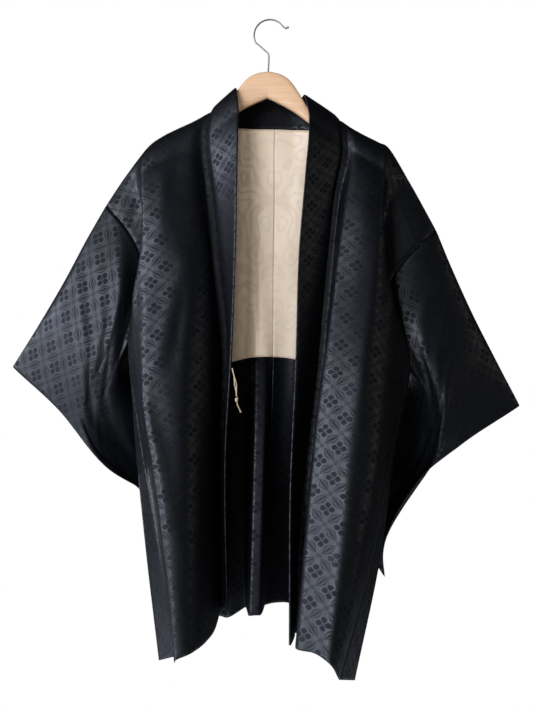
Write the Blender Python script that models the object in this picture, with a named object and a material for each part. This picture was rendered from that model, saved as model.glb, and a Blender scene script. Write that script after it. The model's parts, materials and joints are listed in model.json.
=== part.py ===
"""Haori jacket on a wooden hanger. Metres, +Z up, +Y to the garment's back.
The hook's resting point is the origin.

Each cloth piece is a wall around a smooth surface. The surface is drawn through named
lines that run down the cloth: seams, ridges and valleys. A table has one row for each
line, and its columns are levels from the shoulder to the hem.
"""

import math

import bpy
import numpy as np

MM = 0.001

# Cloth and seams
CLOTH = 0.0014  # silk with its turned-in edges
FACING = 0.0013  # the hem turned up inside the back
LINING = 0.0010
SEAM_GAP = 0.0003
STEPS_ACROSS = 2  # quads between two neighbouring lines

# Levels down the cloth, as a share of the length from shoulder to hem
SHOULDER, YOKE, CHEST, UNDERARM, WAIST, HIP, HEM = FRONT_LEVELS = (0, 0.06, 0.16, 0.32, 0.5, 0.75, 1)
NECK = 0.03
BACK_LEVELS = (SHOULDER, NECK, 0.09, CHEST, UNDERARM, WAIST, HIP, HEM)
FACING_TOP = 0.512
ROWS_TO_UNDERARM = (0.0, 0.004, 0.012, NECK, 0.06, 0.09, 0.12, CHEST, 0.2, 0.24, 0.28, UNDERARM)
GUSSET_TOP = 0.38
ROWS_TO_HEM = (GUSSET_TOP, 0.44, WAIST, FACING_TOP, 0.59, 0.67, HIP, 0.84, 0.92, HEM)
ROWS = ROWS_TO_UNDERARM + ROWS_TO_HEM

# One row for each line: name: (height at the top, height at the hem, (x, y) at each level), all in mm.
LEFT_FRONT = {
    "collar seam": (-160, -1024, [
        (-100, 0), (-106, -15), (-97, -18), (-85, -18), (-71, -15), (-74, -20), (-71, -28)]),
    "valley": (-166, -1027, [
        (-112, 0), (-118, -15), (-110, -18), (-98, -19), (-84, -17), (-87, -22), (-84, -31)]),
    "collar ridge": (-178, -1036, [
        (-133, 0), (-136, -20), (-127, -34), (-113, -46), (-101, -56), (-95, -80), (-93, -105)]),
    "inner bulge": (-192, -1042, [
        (-163, 0), (-163, -24), (-156, -42), (-154, -62), (-144, -92), (-126, -130), (-118, -160)]),
    "bulge": (-205, -1050, [
        (-188, 0), (-190, -27), (-188, -48), (-200, -62), (-197, -97), (-164, -142), (-143, -170)]),
    "side crease": (-224, -1062, [
        (-213, 0), (-218, -28), (-217, -42), (-227, -46), (-213, -84), (-178, -128), (-148, -152)]),
    "side valley": (-270, -1068, [
        (-250, 0), (-230, -9), (-206, -16), (-237, -37), (-220, -66), (-184, -104), (-150, -126)]),
    "side seam": (-325, -1073, [
        (-287, 0), (-248, -12), (-221, -10), (-244, -26), (-223, -50), (-185, -80), (-150, -100)]),
}
RIGHT_FRONT = {
    "collar seam": (-174, -1033, [
        (118, 0), (123, -16), (109, -20), (93, -30), (78, -48), (51, -77), (36, -110)]),
    "valley": (-180, -1030, [
        (129, 0), (135, -16), (121, -20), (106, -31), (91, -50), (63, -80), (49, -112)]),
    "collar ridge": (-190, -1026, [
        (143, 0), (147, -22), (132, -40), (110, -60), (87, -94), (59, -140), (37, -182)]),
    "inner bulge": (-204, -1024, [
        (168, 0), (168, -26), (158, -52), (138, -76), (115, -118), (88, -164), (62, -206)]),
    "bulge": (-215, -1036, [
        (190, 0), (187, -28), (182, -54), (169, -82), (147, -128), (118, -178), (87, -221)]),
    "side crease": (-228, -1062, [
        (210, 0), (197, -30), (192, -45), (199, -66), (180, -118), (146, -168), (99, -202)]),
    "side valley": (-290, -1076, [
        (248, 0), (209, -9), (184, -18), (219, -44), (201, -88), (162, -138), (104, -176)]),
    "side seam": (-370, -1089, [
        (292, 0), (243, -14), (204, -12), (241, -28), (208, -56), (168, -96), (106, -150)]),
}
LEFT_BACK = {
    "centre seam": (-159, -1022, [
        (9, 22), (9, 22), (8, 24), (8, 26), (6, 27), (5, 24), (-3, 10), (-10, -10)]),
    "pipe fold, near side": (-159, -1022, [
        (-12, 22), (-12, 22), (-11, 24), (-11, 25), (-10, 25), (-8, 15), (-13, -22), (-19, -60)]),
    "pipe fold, far side": (-159, -1023, [
        (-29, 21), (-29, 21), (-27, 24), (-26, 25), (-25, 24), (-22, 14), (-27, -22), (-33, -60)]),
    "pipe foot": (-158, -1028, [
        (-54, 18), (-54, 19), (-50, 24), (-48, 25), (-45, 25), (-40, 22), (-42, 10), (-44, -6)]),
    "collar seam": (-160, -1043, [
        (-100, 0), (-92, 13), (-90, 19), (-87, 22), (-82, 24), (-76, 24), (-72, 14), (-70, -10)]),
    "valley": (-166, -1047, [
        (-112, 0), (-110, 13), (-106, 19), (-102, 23), (-98, 27), (-92, 28), (-87, 22), (-84, 4)]),
    "collar ridge": (-178, -1048, [
        (-133, 0), (-132, 13), (-128, 20), (-124, 25), (-118, 30), (-112, 34), (-106, 32), (-100, 18)]),
    "inner bulge": (-192, -1066, [
        (-163, 0), (-162, 14), (-160, 22), (-156, 29), (-152, 36), (-146, 43), (-138, 46), (-132, 42)]),
    "bulge": (-205, -1084, [
        (-188, 0), (-189, 14), (-190, 24), (-189, 32), (-186, 38), (-180, 44), (-168, 47), (-158, 46)]),
    "side crease": (-224, -1096, [
        (-213, 0), (-216, 15), (-218, 27), (-217, 35), (-220, 32), (-210, 36), (-194, 38), (-180, 28)]),
    "side valley": (-270, -1102, [
        (-250, 0), (-240, 6), (-220, 8), (-206, 15), (-230, 17), (-228, 14), (-207, 8), (-190, -6)]),
    "side seam": (-325, -1104, [
        (-287, 0), (-267, 7), (-240, 11), (-221, 12), (-246, 5), (-234, -22), (-212, -40), (-188, -45)]),
}
RIGHT_BACK = {
    "centre seam": LEFT_BACK["centre seam"],
    "pipe fold": (-160, -1024, [
        (38, 20), (38, 22), (36, 24), (34, 26), (30, 28), (26, 30), (14, 24), (6, 6)]),
    "pipe foot": (-163, -1030, [
        (75, 14), (72, 16), (66, 21), (62, 24), (57, 28), (51, 32), (38, 34), (28, 26)]),
    "collar seam": (-174, -1040, [
        (118, 0), (110, 13), (105, 19), (98, 26), (90, 32), (82, 37), (66, 42), (50, 40)]),
    "valley": (-180, -1046, [
        (129, 0), (125, 13), (121, 20), (114, 29), (106, 35), (98, 41), (81, 48), (64, 50)]),
    "collar ridge": (-190, -1056, [
        (143, 0), (142, 13), (138, 22), (131, 32), (122, 39), (114, 45), (97, 54), (79, 58)]),
    "inner bulge": (-204, -1074, [
        (168, 0), (168, 14), (166, 25), (160, 36), (152, 42), (144, 50), (124, 60), (104, 62)]),
    "bulge": (-215, -1094, [
        (190, 0), (190, 15), (188, 26), (182, 36), (180, 41), (174, 49), (150, 57), (128, 54)]),
    "side crease": (-228, -1108, [
        (210, 0), (204, 16), (198, 29), (193, 39), (203, 38), (196, 40), (170, 42), (142, 30)]),
    "side valley": (-290, -1114, [
        (248, 0), (234, 6), (209, 9), (184, 17), (219, 20), (208, 14), (182, 4), (146, -20)]),
    "side seam": (-370, -1118, [
        (292, 0), (266, 8), (234, 12), (207, 11), (243, 0), (214, -34), (185, -52), (138, -88)]),
}

# The collar's fold edge, at the front levels, and round the back of the neck
LEFT_FOLD = (-122, -1009, [(-58, 0), (-53, -36), (-54, -56), (-56, -70), (-62, -73), (-73, -77), (-69, -83)])
RIGHT_FOLD = (-134, -1029, [(58, 0), (66, -38), (59, -54), (47, -66), (41, -94), (30, -130), (28, -166)])
NECK_FOLD = ((-50, 22, -124), (-25, 33, -126), (3, 36, -128), (31, 33, -130), (52, 21, -133))
COLLAR_OPENING = 0.0042  # between the collar's two halves
COLLAR_TURN = 0.0013  # more room at the seam where the collar turns off the front, lower down

# Sleeves. A row for each level down the sleeve: (x, y, z) of four lines from the arm seam to the wrist, in mm
SLEEVE_LEVELS = ("fold", "upper arm", "underarm", "lower", "bottom")
LEFT_SLEEVE = {
    "fold": [(-322, 0, -387), (-362, 0, -462), (-406, 0, -536), (-451, 0, -608)],
    "upper arm": [(-268, -30, -512), (-307, -37, -582), (-342, -20, -640), (-366, -8, -686)],
    "underarm": [(-279, -14, -626), (-304, -6, -690), (-308, 2, -744), (-290, 6, -784)],
    "lower": [(-214, 62, -728), (-238, 50, -786), (-228, 44, -836), (-194, 56, -864)],
    "bottom": [(-94, 88, -797), (-116, 84, -866), (-136, 78, -930), (-150, 70, -988)],
}
RIGHT_SLEEVE = {
    "fold": [(318, 0, -434), (355, 0, -516), (397, 0, -598), (438, 0, -676)],
    "upper arm": [(258, -28, -552), (296, -34, -622), (322, -20, -690), (336, -8, -742)],
    "underarm": [(278, -18, -662), (292, -10, -726), (284, -2, -780), (253, 4, -818)],
    "lower": [(228, 64, -776), (238, 56, -836), (222, 50, -890), (207, 52, -940)],
    "bottom": [(120, 92, -842), (148, 88, -900), (180, 82, -950), (213, 70, -998)],
}
LEFT_FREE_EDGE = [(-259, 8, -592), (-182, 66, -664), (-74, 94, -730)]  # the inner edge below the underarm
RIGHT_FREE_EDGE = [(251, 10, -629), (192, 70, -706), (94, 98, -778)]
SLEEVE_DEPTH = {
    "upper arm": (34, 44, 38, 30),
    "underarm": (24, 27, 29, 28),
    "lower": (18, 18, 16, 10),
    "bottom": (6, 6, 6, 4),
}
FREE_EDGE_DEPTH = (16, 16, 6)
FREE_EDGE_LEVELS = (1, 1.12, 1.5, 2)
SLEEVE_ROWS = tuple(row / UNDERARM for row in ROWS_TO_UNDERARM) + (1.12, 1.26, 1.4, 1.56, 1.72, 1.87, 2)

# Tie loop on the left collar edge
TIE_ROUTE = ((-62.5, -74.5, -609), (-61.5, -77, -613), (-59.8, -78, -620), (-58.2, -78, -628),
             (-56.9, -78, -637), (-55.9, -78, -646), (-55.4, -78, -655.5))
TIE_TAIL = ((-54.8, -78, -665.5), (-53.4, -78, -670), (-50.6, -78, -676), (-47.8, -78, -682))
TIE_WIDTH = 0.0030
TAIL_WIDTH = 0.0024
KNOT = ((-55.1, -78, -660.4), (3.4, 3.2, 4.4))  # centre and half sizes, in mm

# Hanger, level here and tilted afterwards: (distance from the middle, top, bottom, half thickness), in mm
TILT = math.radians(1.25)
HANGER_MIDDLE = (-0.003, 0, -0.090)
HANGER_ARM = {
    "middle": (0, 0, -47, 7.0),
    "saddle": (20, -4, -56, 7.0),
    "hump": (36, -13, -64, 7.0),
    "neck": (48, -27, -71, 6.8),
    "collar": (60, -45, -79, 6.6),
    "under the collar": (76, -66, -90, 6.4),
    "shoulder": (118, -88, -112, 6.2),
    "mid arm": (168, -115.5, -135, 5.8),
    "outer arm": (192, -128, -144, 5.4),
    "near tip": (202, -136, -149, 4.6),
    "tip": (207, -141, -148, 3.0),
}
HOOK_WIRE = 0.0028
HOOK_RADIUS = 0.0277  # to the middle of the wire
HOOK_TIP = ((33.5, -12.2), (30.0, -12.6), (27.4, -14.0))
HOOK_FROM, HOOK_TO = math.radians(38), math.radians(208)
HOOK_FOOT = (
    (-17.8, -44.8), (-9.6, -52.2), (-4.4, -56.6), (-2.2, -61.5), (-2.0, -70), (-2.4, -80), (-3.0, -89.6),
)


def smooth(knots, values, at):
    """Values on a curve through the knots that doesn't swing past them, one column of values at a time."""
    knots, values, at = np.asarray(knots, float), np.asarray(values, float), np.asarray(at, float)
    step = np.diff(knots)[:, None]
    slope = np.diff(values, axis=0) / step
    tangent = np.empty_like(values)
    tangent[0], tangent[-1] = slope[0], slope[-1]
    before, after = slope[:-1], slope[1:]
    same_way = before * after > 0
    mean = (before * step[1:] + after * step[:-1]) / (step[1:] + step[:-1])
    limit = 3 * np.minimum(abs(before), abs(after))
    tangent[1:-1] = np.where(same_way, np.clip(mean, -limit, limit), 0)
    i = np.clip(np.searchsorted(knots, at, side="right") - 1, 0, len(knots) - 2)
    width = step[i]
    t = (at - knots[i])[:, None] / width
    return (
        values[i] * (2 * t**3 - 3 * t**2 + 1)
        + tangent[i] * width * (t**3 - 2 * t**2 + t)
        + values[i + 1] * (3 * t**2 - 2 * t**3)
        + tangent[i + 1] * width * (t**3 - t**2)
    )


def flowing(points, at):
    """A curve through points in space, for wires, cords and folds. It may swing a little past them."""
    points = np.asarray(points, float)
    last = len(points) - 1
    tangent = np.gradient(points, axis=0)
    i = np.clip(np.floor(at).astype(int), 0, last - 1)
    t = (at - i)[:, None]
    return (
        points[i] * (2 * t**3 - 3 * t**2 + 1)
        + tangent[i] * (t**3 - 2 * t**2 + t)
        + points[i + 1] * (3 * t**2 - 2 * t**3)
        + tangent[i + 1] * (t**3 - t**2)
    )


def line_down(row, levels, rows):
    """One line of a table as points at the rows. Near the top its depth is an arch over the hanger."""
    top, hem, places = row
    at = np.asarray(rows, float)
    flat = smooth(levels, places, at)
    start, first = levels[0], levels[1]
    share = np.clip((at - start) / (first - start), 0, 1)
    arch = places[1][1] * np.sqrt(1 - (1 - share) ** 2)
    if places[0][1] == 0:
        flat[:, 1] = np.where(at < first, arch, flat[:, 1])
    height = top + (hem - top) * at
    return np.column_stack([flat, height]) * MM


def panel(table, levels, rows):
    """A grid of points: rows down the cloth, columns across it through every line of the table."""
    lines = np.array([line_down(row, levels, rows) for row in table.values()])
    return across(lines)


def across(lines):
    """Smooth rows through lines given as (line, row, xyz), returned as (row, column, xyz)."""
    count = len(lines)
    at = np.linspace(0, count - 1, (count - 1) * STEPS_ACROSS + 1)
    grid = smooth(np.arange(count), lines.reshape(count, -1), at).reshape(len(at), -1, 3)
    return grid.transpose(1, 0, 2)


def quads_of(grid, keep=None):
    """Corner points and quads of a grid; keep(row, column) leaves out quads that the cloth doesn't have."""
    rows, columns = grid.shape[:2]
    quads = []
    for i in range(rows - 1):
        for j in range(columns - 1):
            if keep is None or keep(i, j):
                a = i * columns + j
                quads.append((a, a + 1, a + columns + 1, a + columns))
    return grid.reshape(-1, 3), np.array(quads)


def joined_points(points, quads):
    """The same sheet with points at one place made one and unused points dropped."""
    used = np.unique(quads)
    _, first, index = np.unique(np.round(points[used], 7), axis=0, return_index=True, return_inverse=True)
    lookup = np.full(len(points), -1)
    lookup[used] = index.reshape(-1)
    return points[used][first], lookup[quads]


TURNED = [0, 3, 2, 1]  # a quad's corners the other way round, with the same corner first


def face_normals(points, quads):
    diagonals = points[quads[:, 2]] - points[quads[:, 0]], points[quads[:, 3]] - points[quads[:, 1]]
    normals = np.cross(*diagonals)
    return normals / np.maximum(np.linalg.norm(normals, axis=1, keepdims=True), 1e-12)


def faced_out(points, quads, middle):
    """The quads turned, if need be, so that their front is the side away from the middle."""
    away = points[quads].mean(axis=1) - middle
    return quads if (face_normals(points, quads) * away).sum() > 0 else quads[:, TURNED]


def shared_normals(sheets):
    """Normals of all sheets together, so that pieces sewn to each other end in one plane."""
    total = {}
    for points, quads in sheets.values():
        for normal, quad in zip(face_normals(points, quads), quads):
            for corner in quad:
                key = key_of(points[corner])
                total[key] = total.get(key, 0) + normal
    found = {}
    for name, (points, _) in sheets.items():
        normals = np.array([total[key_of(point)] for point in points])
        found[name] = normals / np.linalg.norm(normals, axis=1, keepdims=True)
    return found


def rim_edges(quads):
    """Edges with a quad on one side only, in the order that their quad runs."""
    ends = np.concatenate([quads[:, [k, (k + 1) % 4]] for k in range(4)])
    seen = {tuple(edge) for edge in ends}
    return [edge for edge in map(tuple, ends) if edge[::-1] not in seen]


def draw_in(points, quads, normals, by):
    """The sheet with its rim moved inwards along the cloth, which leaves the gap at each seam."""
    inward = np.zeros_like(points)
    for a, b in rim_edges(quads):
        direction = np.cross(normals[a], points[b] - points[a])
        direction /= max(np.linalg.norm(direction), 1e-9)
        inward[a] += direction
        inward[b] += direction
    length = np.linalg.norm(inward, axis=1, keepdims=True)
    return points + by * np.divide(inward, length, out=np.zeros_like(inward), where=length > 0.2)


def cloth_wall(name, points, quads, normals, outer, inner, material):
    """A closed wall: the sheet moved out by outer, moved in by inner, and joined round its rim."""
    count = len(points)
    vertices = np.concatenate([points + normals * outer, points - normals * np.reshape(inner, (-1, 1))])
    under = quads[:, TURNED] + count
    faces = [side[list(half)] for side in (*quads, *under) for half in ((0, 1, 2), (0, 2, 3))]
    faces += [(b, a, a + count, b + count) for a, b in rim_edges(quads)]
    return add_mesh(name, vertices, faces, material)


def add_mesh(name, vertices, faces, material):
    mesh = bpy.data.meshes.new(name)
    mesh.from_pydata([tuple(map(float, v)) for v in vertices], [], [tuple(map(int, f)) for f in faces])
    mesh.shade_smooth()
    mesh.set_sharp_from_angle(angle=math.radians(50))
    mesh.materials.append(material)
    body = bpy.data.objects.new(name, mesh)
    bpy.context.scene.collection.objects.link(body)
    return body


def finish(name, colour, roughness, metallic=0.0):
    material = bpy.data.materials.new(name)
    material.use_nodes = True
    shader = material.node_tree.nodes["Principled BSDF"]
    shader.inputs["Base Color"].default_value = (*colour, 1)
    shader.inputs["Roughness"].default_value = roughness
    shader.inputs["Metallic"].default_value = metallic
    return material


def body_sheet(front, back):
    """One body length: the front grid from the hem up, then the back grid down, with the neck cut out."""
    spare = (len(back) - len(front)) * STEPS_ACROSS
    front_grid = panel(front, FRONT_LEVELS, ROWS)
    back_grid = panel(back, BACK_LEVELS, ROWS)
    front_wide = np.concatenate([back_grid[:, :spare], front_grid], axis=1)
    grid = np.concatenate([front_wide[::-1], back_grid[1:]])
    neck_row = len(ROWS) - 1 + ROWS.index(NECK)
    points, quads = quads_of(grid, lambda i, j: j >= spare or i >= neck_row)
    return front_grid, back_grid, (points, quads)


def sleeve_sheet(front_seam, back_seam, table, free_edge):
    """A tube of cloth: down the sleeve's front, round its bottom and up its back. Its two ends are open."""
    attached = len(ROWS_TO_UNDERARM)
    free_at = np.array(SLEEVE_ROWS[attached - 1:])
    sides = []
    for seam, back in ((front_seam, False), (back_seam, True)):
        lines = []
        edge = np.array(free_edge, float)
        if back:
            edge[:, 1] += FREE_EDGE_DEPTH
        edge = np.concatenate([[seam[attached - 1] / MM], edge]) * MM
        lines.append(np.concatenate([seam[:attached - 1], smooth(FREE_EDGE_LEVELS, edge, free_at)]))
        for k in range(4):
            places = np.array([table[level][k] for level in SLEEVE_LEVELS], float)
            if back:
                places[1:, 1] += [SLEEVE_DEPTH[level][k] for level in SLEEVE_LEVELS[1:]]
            line = smooth((0, 0.5, 1, 1.5, 2), places * MM, SLEEVE_ROWS)
            near_fold = np.clip(np.array(SLEEVE_ROWS) / 0.5, 0, 1)
            depth = places[1, 1] * MM * np.sqrt(1 - (1 - near_fold) ** 2)
            line[:, 1] = np.where(np.array(SLEEVE_ROWS) < 0.5, depth, line[:, 1])
            lines.append(line)
        sides.append(across(np.array(lines)))
    front_grid, back_grid = sides
    loop = np.concatenate([front_grid, back_grid[:0:-1], front_grid[:1]])
    return quads_of(loop)


def gusset_sheet(front_grid, back_grid):
    """The wedge between the front's side seam and the back's. The side is open above it, up to the sleeve."""
    first = ROWS.index(GUSSET_TOP)
    front_edge, back_edge = front_grid[first:, -1], back_grid[first:, -1]
    return quads_of(np.stack([front_edge, (front_edge + back_edge) / 2, back_edge], axis=1))


def collar_sheet(left_front, right_front, left_back, right_back):
    """The collar strip from hem to hem: from its seam up to its fold edge, then down again on the outside."""
    neck = ROWS.index(NECK)
    left_point, right_point = (back.shape[1] - front.shape[1] for back, front in
                               ((left_back, left_front), (right_back, right_front)))
    round_neck = np.concatenate([left_back[neck, left_point::-1], right_back[neck, 1:right_point + 1]])
    left_top, right_top = left_back[1:neck, left_point], right_back[neck - 1:0:-1, right_point]
    seam = np.concatenate([left_front[::-1, 0], left_top, round_neck, right_top, right_front[:, 0]])
    left_fold = line_down(LEFT_FOLD, FRONT_LEVELS, ROWS)[::-1]
    right_fold = line_down(RIGHT_FOLD, FRONT_LEVELS, ROWS)
    through = np.concatenate([left_fold[-4::3], np.array(NECK_FOLD) * MM, right_fold[:4:3]])
    turns = len(seam) - 2 * len(ROWS)
    round_fold = flowing(through, np.linspace(1, len(through) - 2, turns + 2)[1:-1])
    fold = np.concatenate([left_fold, round_fold, right_fold])
    out = np.cross(fold - seam, np.gradient(fold, axis=0))
    out /= np.linalg.norm(out, axis=1, keepdims=True)
    rise = fold - seam
    level = np.concatenate([ROWS[::-1], np.zeros(turns), ROWS])[:, None]
    clear = SEAM_GAP + COLLAR_TURN * np.sqrt(level)
    first = seam + rise / np.linalg.norm(rise, axis=1, keepdims=True) * clear
    inner = [first, seam + 0.5 * rise, seam + 0.88 * rise]
    outer = [seam + 0.88 * rise, seam + 0.5 * rise, seam + 0.08 * rise]
    lifted = [line + out * COLLAR_OPENING * share for line, share in zip(outer, (0.9, 1.1, 1.0))]
    tip = [fold + out * COLLAR_OPENING / 2]
    return quads_of(np.stack(inner + tip + lifted, axis=1))


def key_of(point):
    return tuple(np.round(point, 6))


def lining_sheet(back_grid, body, normals):
    """The lining on the back's own points, moved in, from the neck seam down to the facing."""
    first, last = ROWS.index(NECK), ROWS.index(WAIST)
    side = back_grid.shape[1] - 3 * STEPS_ACROSS
    points, quads = joined_points(*quads_of(back_grid[first:last + 1, :side]))
    known = {key_of(point): normal for point, normal in zip(body, normals)}
    out = np.array([known[key_of(point)] for point in points])
    quads = quads if (face_normals(points, quads) * out[quads[:, 0]]).sum() > 0 else quads[:, TURNED]
    return points - out * (CLOTH / 2 + SEAM_GAP + LINING / 2), quads, out


def hanger_wood(material):
    """Two curved arms lofted from rounded sections, in one piece."""
    rows = np.array(list(HANGER_ARM.values()), float)
    along = np.linspace(0, len(rows) - 1, 2 * len(rows) - 1)
    half = smooth(np.arange(len(rows)), rows, along)
    stations = np.concatenate([half[:0:-1] * (-1, 1, 1, 1), half])
    angles = np.linspace(0, 2 * math.pi, 10, endpoint=False) + math.pi / 2
    square = 0.62  # under 1 flattens the sides
    vertices = []
    for x, top, bottom, thick in stations:
        middle, height = (top + bottom) / 2, (top - bottom) / 2
        for angle in angles:
            c, s = math.cos(angle), math.sin(angle)
            depth = thick * np.sign(c) * abs(c) ** square
            vertices.append((x, depth, middle + height * np.sign(s) * abs(s) ** square))
    vertices = tilted(np.array(vertices) * MM)
    sides = len(angles)
    faces = []
    for i in range(len(stations) - 1):
        for k in range(sides):
            a, b = i * sides + k, i * sides + (k + 1) % sides
            faces.append((a, b, b + sides, a + sides))
    faces += [tuple(range(sides))[::-1], tuple(range(len(vertices) - sides, len(vertices)))]
    return add_mesh("hanger_wood", vertices, faces, material)


def tilted(points):
    """Turned about the middle of the hanger, so that the right arm hangs lower."""
    x, y, z = points.T
    across, down = x * math.cos(TILT) + z * math.sin(TILT), z * math.cos(TILT) - x * math.sin(TILT)
    turned = np.column_stack([across, y, down])
    return turned + HANGER_MIDDLE


def tube(name, points, width, material, resolution=2):
    curve = bpy.data.curves.new(name, "CURVE")
    curve.dimensions = "3D"
    curve.bevel_depth = width / 2
    curve.bevel_resolution = resolution
    curve.use_fill_caps = True
    spline = curve.splines.new("POLY")
    spline.points.add(len(points) - 1)
    for point, place in zip(spline.points, points):
        point.co = (*map(float, place), 1)
    curve.materials.append(material)
    body = bpy.data.objects.new(name, curve)
    bpy.context.scene.collection.objects.link(body)
    return body


def hook(material):
    """Bright wire: a flared tip, most of a circle, and a straight shank into the wood."""
    turns = np.linspace(HOOK_FROM, HOOK_TO, 12)
    centre = -(HOOK_RADIUS - HOOK_WIRE / 2) / MM
    arc = [(HOOK_RADIUS / MM * math.cos(t), centre + HOOK_RADIUS / MM * math.sin(t)) for t in turns]
    route = np.array([(x, 0, z) for x, z in (*HOOK_TIP, *arc, *HOOK_FOOT)]) * MM
    return tube("hanger_hook", flowing(route, np.linspace(0, len(route) - 1, 60)), HOOK_WIRE, material)


def tie_loop(material):
    """The twisted loop that hangs from the collar edge, its knot and its tail."""
    for name, route, width in (("tie_cord", TIE_ROUTE, TIE_WIDTH), ("tie_tail", TIE_TAIL, TAIL_WIDTH)):
        points = np.array(route) * MM
        tube(name, flowing(points, np.linspace(0, len(points) - 1, 2 * len(points))), width, material)
    centre, half = np.array(KNOT) * MM
    rings = 8
    vertices = [centre + half * (0, 0, 1)]
    for i in range(1, rings):
        down = math.pi * i / rings
        for k in range(2 * rings):
            turn = math.pi * k / rings
            place = (math.sin(down) * math.cos(turn), math.sin(down) * math.sin(turn), math.cos(down))
            vertices.append(centre + half * place)
    vertices.append(centre - half * (0, 0, 1))
    around = 2 * rings
    last = len(vertices) - 1
    faces = [(0, 1 + k, 1 + (k + 1) % around) for k in range(around)]
    for i in range(rings - 2):
        for k in range(around):
            a, b = 1 + i * around + k, 1 + i * around + (k + 1) % around
            faces.append((a, a + around, b + around, b))
    first = last - around
    faces += [(first + (k + 1) % around, first + k, last) for k in range(around)]
    add_mesh("tie_knot", vertices, faces, material)


def build():
    for old in list(bpy.data.objects):
        bpy.data.objects.remove(old, do_unlink=True)
    silk = finish("black damask silk", (0.012, 0.012, 0.015), 0.45)
    cream = finish("cream lining silk", (0.70, 0.60, 0.50), 0.5)
    straw = finish("straw cord", (0.55, 0.45, 0.30), 0.8)
    wood = finish("pale wood", (0.72, 0.56, 0.38), 0.5)
    wire = finish("bright wire", (0.75, 0.75, 0.77), 0.25, 1.0)

    left_front, left_back, left_body = body_sheet(LEFT_FRONT, LEFT_BACK)
    right_front, right_back, right_body = body_sheet(RIGHT_FRONT, RIGHT_BACK)
    sheets = {
        "body_left": left_body,
        "body_right": right_body,
        "sleeve_left": sleeve_sheet(left_front[:, -1], left_back[:, -1], LEFT_SLEEVE, LEFT_FREE_EDGE),
        "sleeve_right": sleeve_sheet(right_front[:, -1], right_back[:, -1], RIGHT_SLEEVE, RIGHT_FREE_EDGE),
        "gusset_left": gusset_sheet(left_front, left_back),
        "gusset_right": gusset_sheet(right_front, right_back),
    }
    sheets = {name: joined_points(*sheet) for name, sheet in sheets.items()}
    middles = {name: points.mean(axis=0) for name, (points, _) in sheets.items()}
    middles["gusset_left"], middles["gusset_right"] = middles["body_left"], middles["body_right"]
    for name, (points, quads) in sheets.items():
        sheets[name] = (points, faced_out(points, quads, middles[name]))
    normals = shared_normals(sheets)
    facing = ROWS.index(FACING_TOP)
    turned_up = {key_of(point) for back in (left_back, right_back) for point in back[facing:].reshape(-1, 3)}
    for name, (points, quads) in sheets.items():
        doubled = np.array([name.startswith("body") and key_of(point) in turned_up for point in points])
        place = draw_in(points, quads, normals[name], SEAM_GAP / 2)
        cloth_wall(name, place, quads, normals[name], CLOTH / 2, CLOTH / 2 + FACING * doubled, silk)
    for side, back in (("left", left_back), ("right", right_back)):
        body = "body_" + side
        points, quads, out = lining_sheet(back, sheets[body][0], normals[body])
        place = draw_in(points, quads, out, SEAM_GAP / 2)
        cloth_wall("lining_" + side, place, quads, out, LINING / 2, np.full(len(points), LINING / 2), cream)

    points, quads = joined_points(*collar_sheet(left_front, right_front, left_back, right_back))
    collar = {"collar": (points, quads)}
    out = shared_normals(collar)["collar"]
    cloth_wall("collar", points, quads, out, CLOTH / 2, np.full(len(points), CLOTH / 2), silk)

    hanger_wood(wood)
    hook(wire)
    tie_loop(straw)


build()
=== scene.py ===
# %% [markdown]
# # A haori jacket on a wooden hanger
# A haori is a silk jacket that is cut from straight lengths of one narrow roll. Here it hangs from a wooden
# hanger with a wire hook. The solids are loaded first. Every piece is then made again in finer form
# on the same lines, in metres, with +Z up and +Y to the jacket's back.

# %% Load the fixed model
import math

import bpy
import numpy as np
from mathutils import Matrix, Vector, noise
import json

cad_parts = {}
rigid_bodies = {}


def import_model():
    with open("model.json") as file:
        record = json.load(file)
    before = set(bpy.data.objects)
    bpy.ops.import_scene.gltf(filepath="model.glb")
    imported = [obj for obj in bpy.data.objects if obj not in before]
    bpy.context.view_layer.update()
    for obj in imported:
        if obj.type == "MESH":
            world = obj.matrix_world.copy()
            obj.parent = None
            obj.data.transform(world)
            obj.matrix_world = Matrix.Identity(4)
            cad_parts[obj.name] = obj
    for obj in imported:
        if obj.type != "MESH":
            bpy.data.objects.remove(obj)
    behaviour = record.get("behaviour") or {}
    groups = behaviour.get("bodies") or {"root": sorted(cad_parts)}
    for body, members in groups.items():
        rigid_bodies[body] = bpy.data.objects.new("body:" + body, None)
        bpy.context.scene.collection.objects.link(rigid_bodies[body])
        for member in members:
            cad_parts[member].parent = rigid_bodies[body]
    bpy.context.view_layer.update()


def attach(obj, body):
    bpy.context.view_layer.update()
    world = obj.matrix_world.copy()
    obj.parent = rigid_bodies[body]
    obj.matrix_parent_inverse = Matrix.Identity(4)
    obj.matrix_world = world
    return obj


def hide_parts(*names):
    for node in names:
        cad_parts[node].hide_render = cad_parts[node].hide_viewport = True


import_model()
MM = 0.001

# %% [markdown]
# ## The viewpoint
# Someone stands 1.25 m in front of the jacket, with their eyes level with its middle. A 36 mm lens on a 36
# mm sensor gives that view. The camera comes first, because the cord is measured against it.

# %% Camera
EYE = Vector((-0.006, -1.25, -0.588))
LENS = 36.06
SENSOR = 36


def stand_at(eye, lens):
    """A level camera that looks along +Y."""
    made = bpy.data.cameras.new("viewpoint")
    made.sensor_fit = "VERTICAL"
    made.sensor_width = made.sensor_height = SENSOR
    made.lens = lens
    made.clip_end = 50
    camera = bpy.data.objects.new("viewpoint", made)
    bpy.context.scene.collection.objects.link(camera)
    camera.location = eye
    camera.rotation_euler = (math.pi / 2, 0, 0)
    bpy.context.scene.camera = camera
    return camera


camera = stand_at(EYE, LENS)
print("camera at", tuple(round(x, 3) for x in camera.location))

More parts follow.
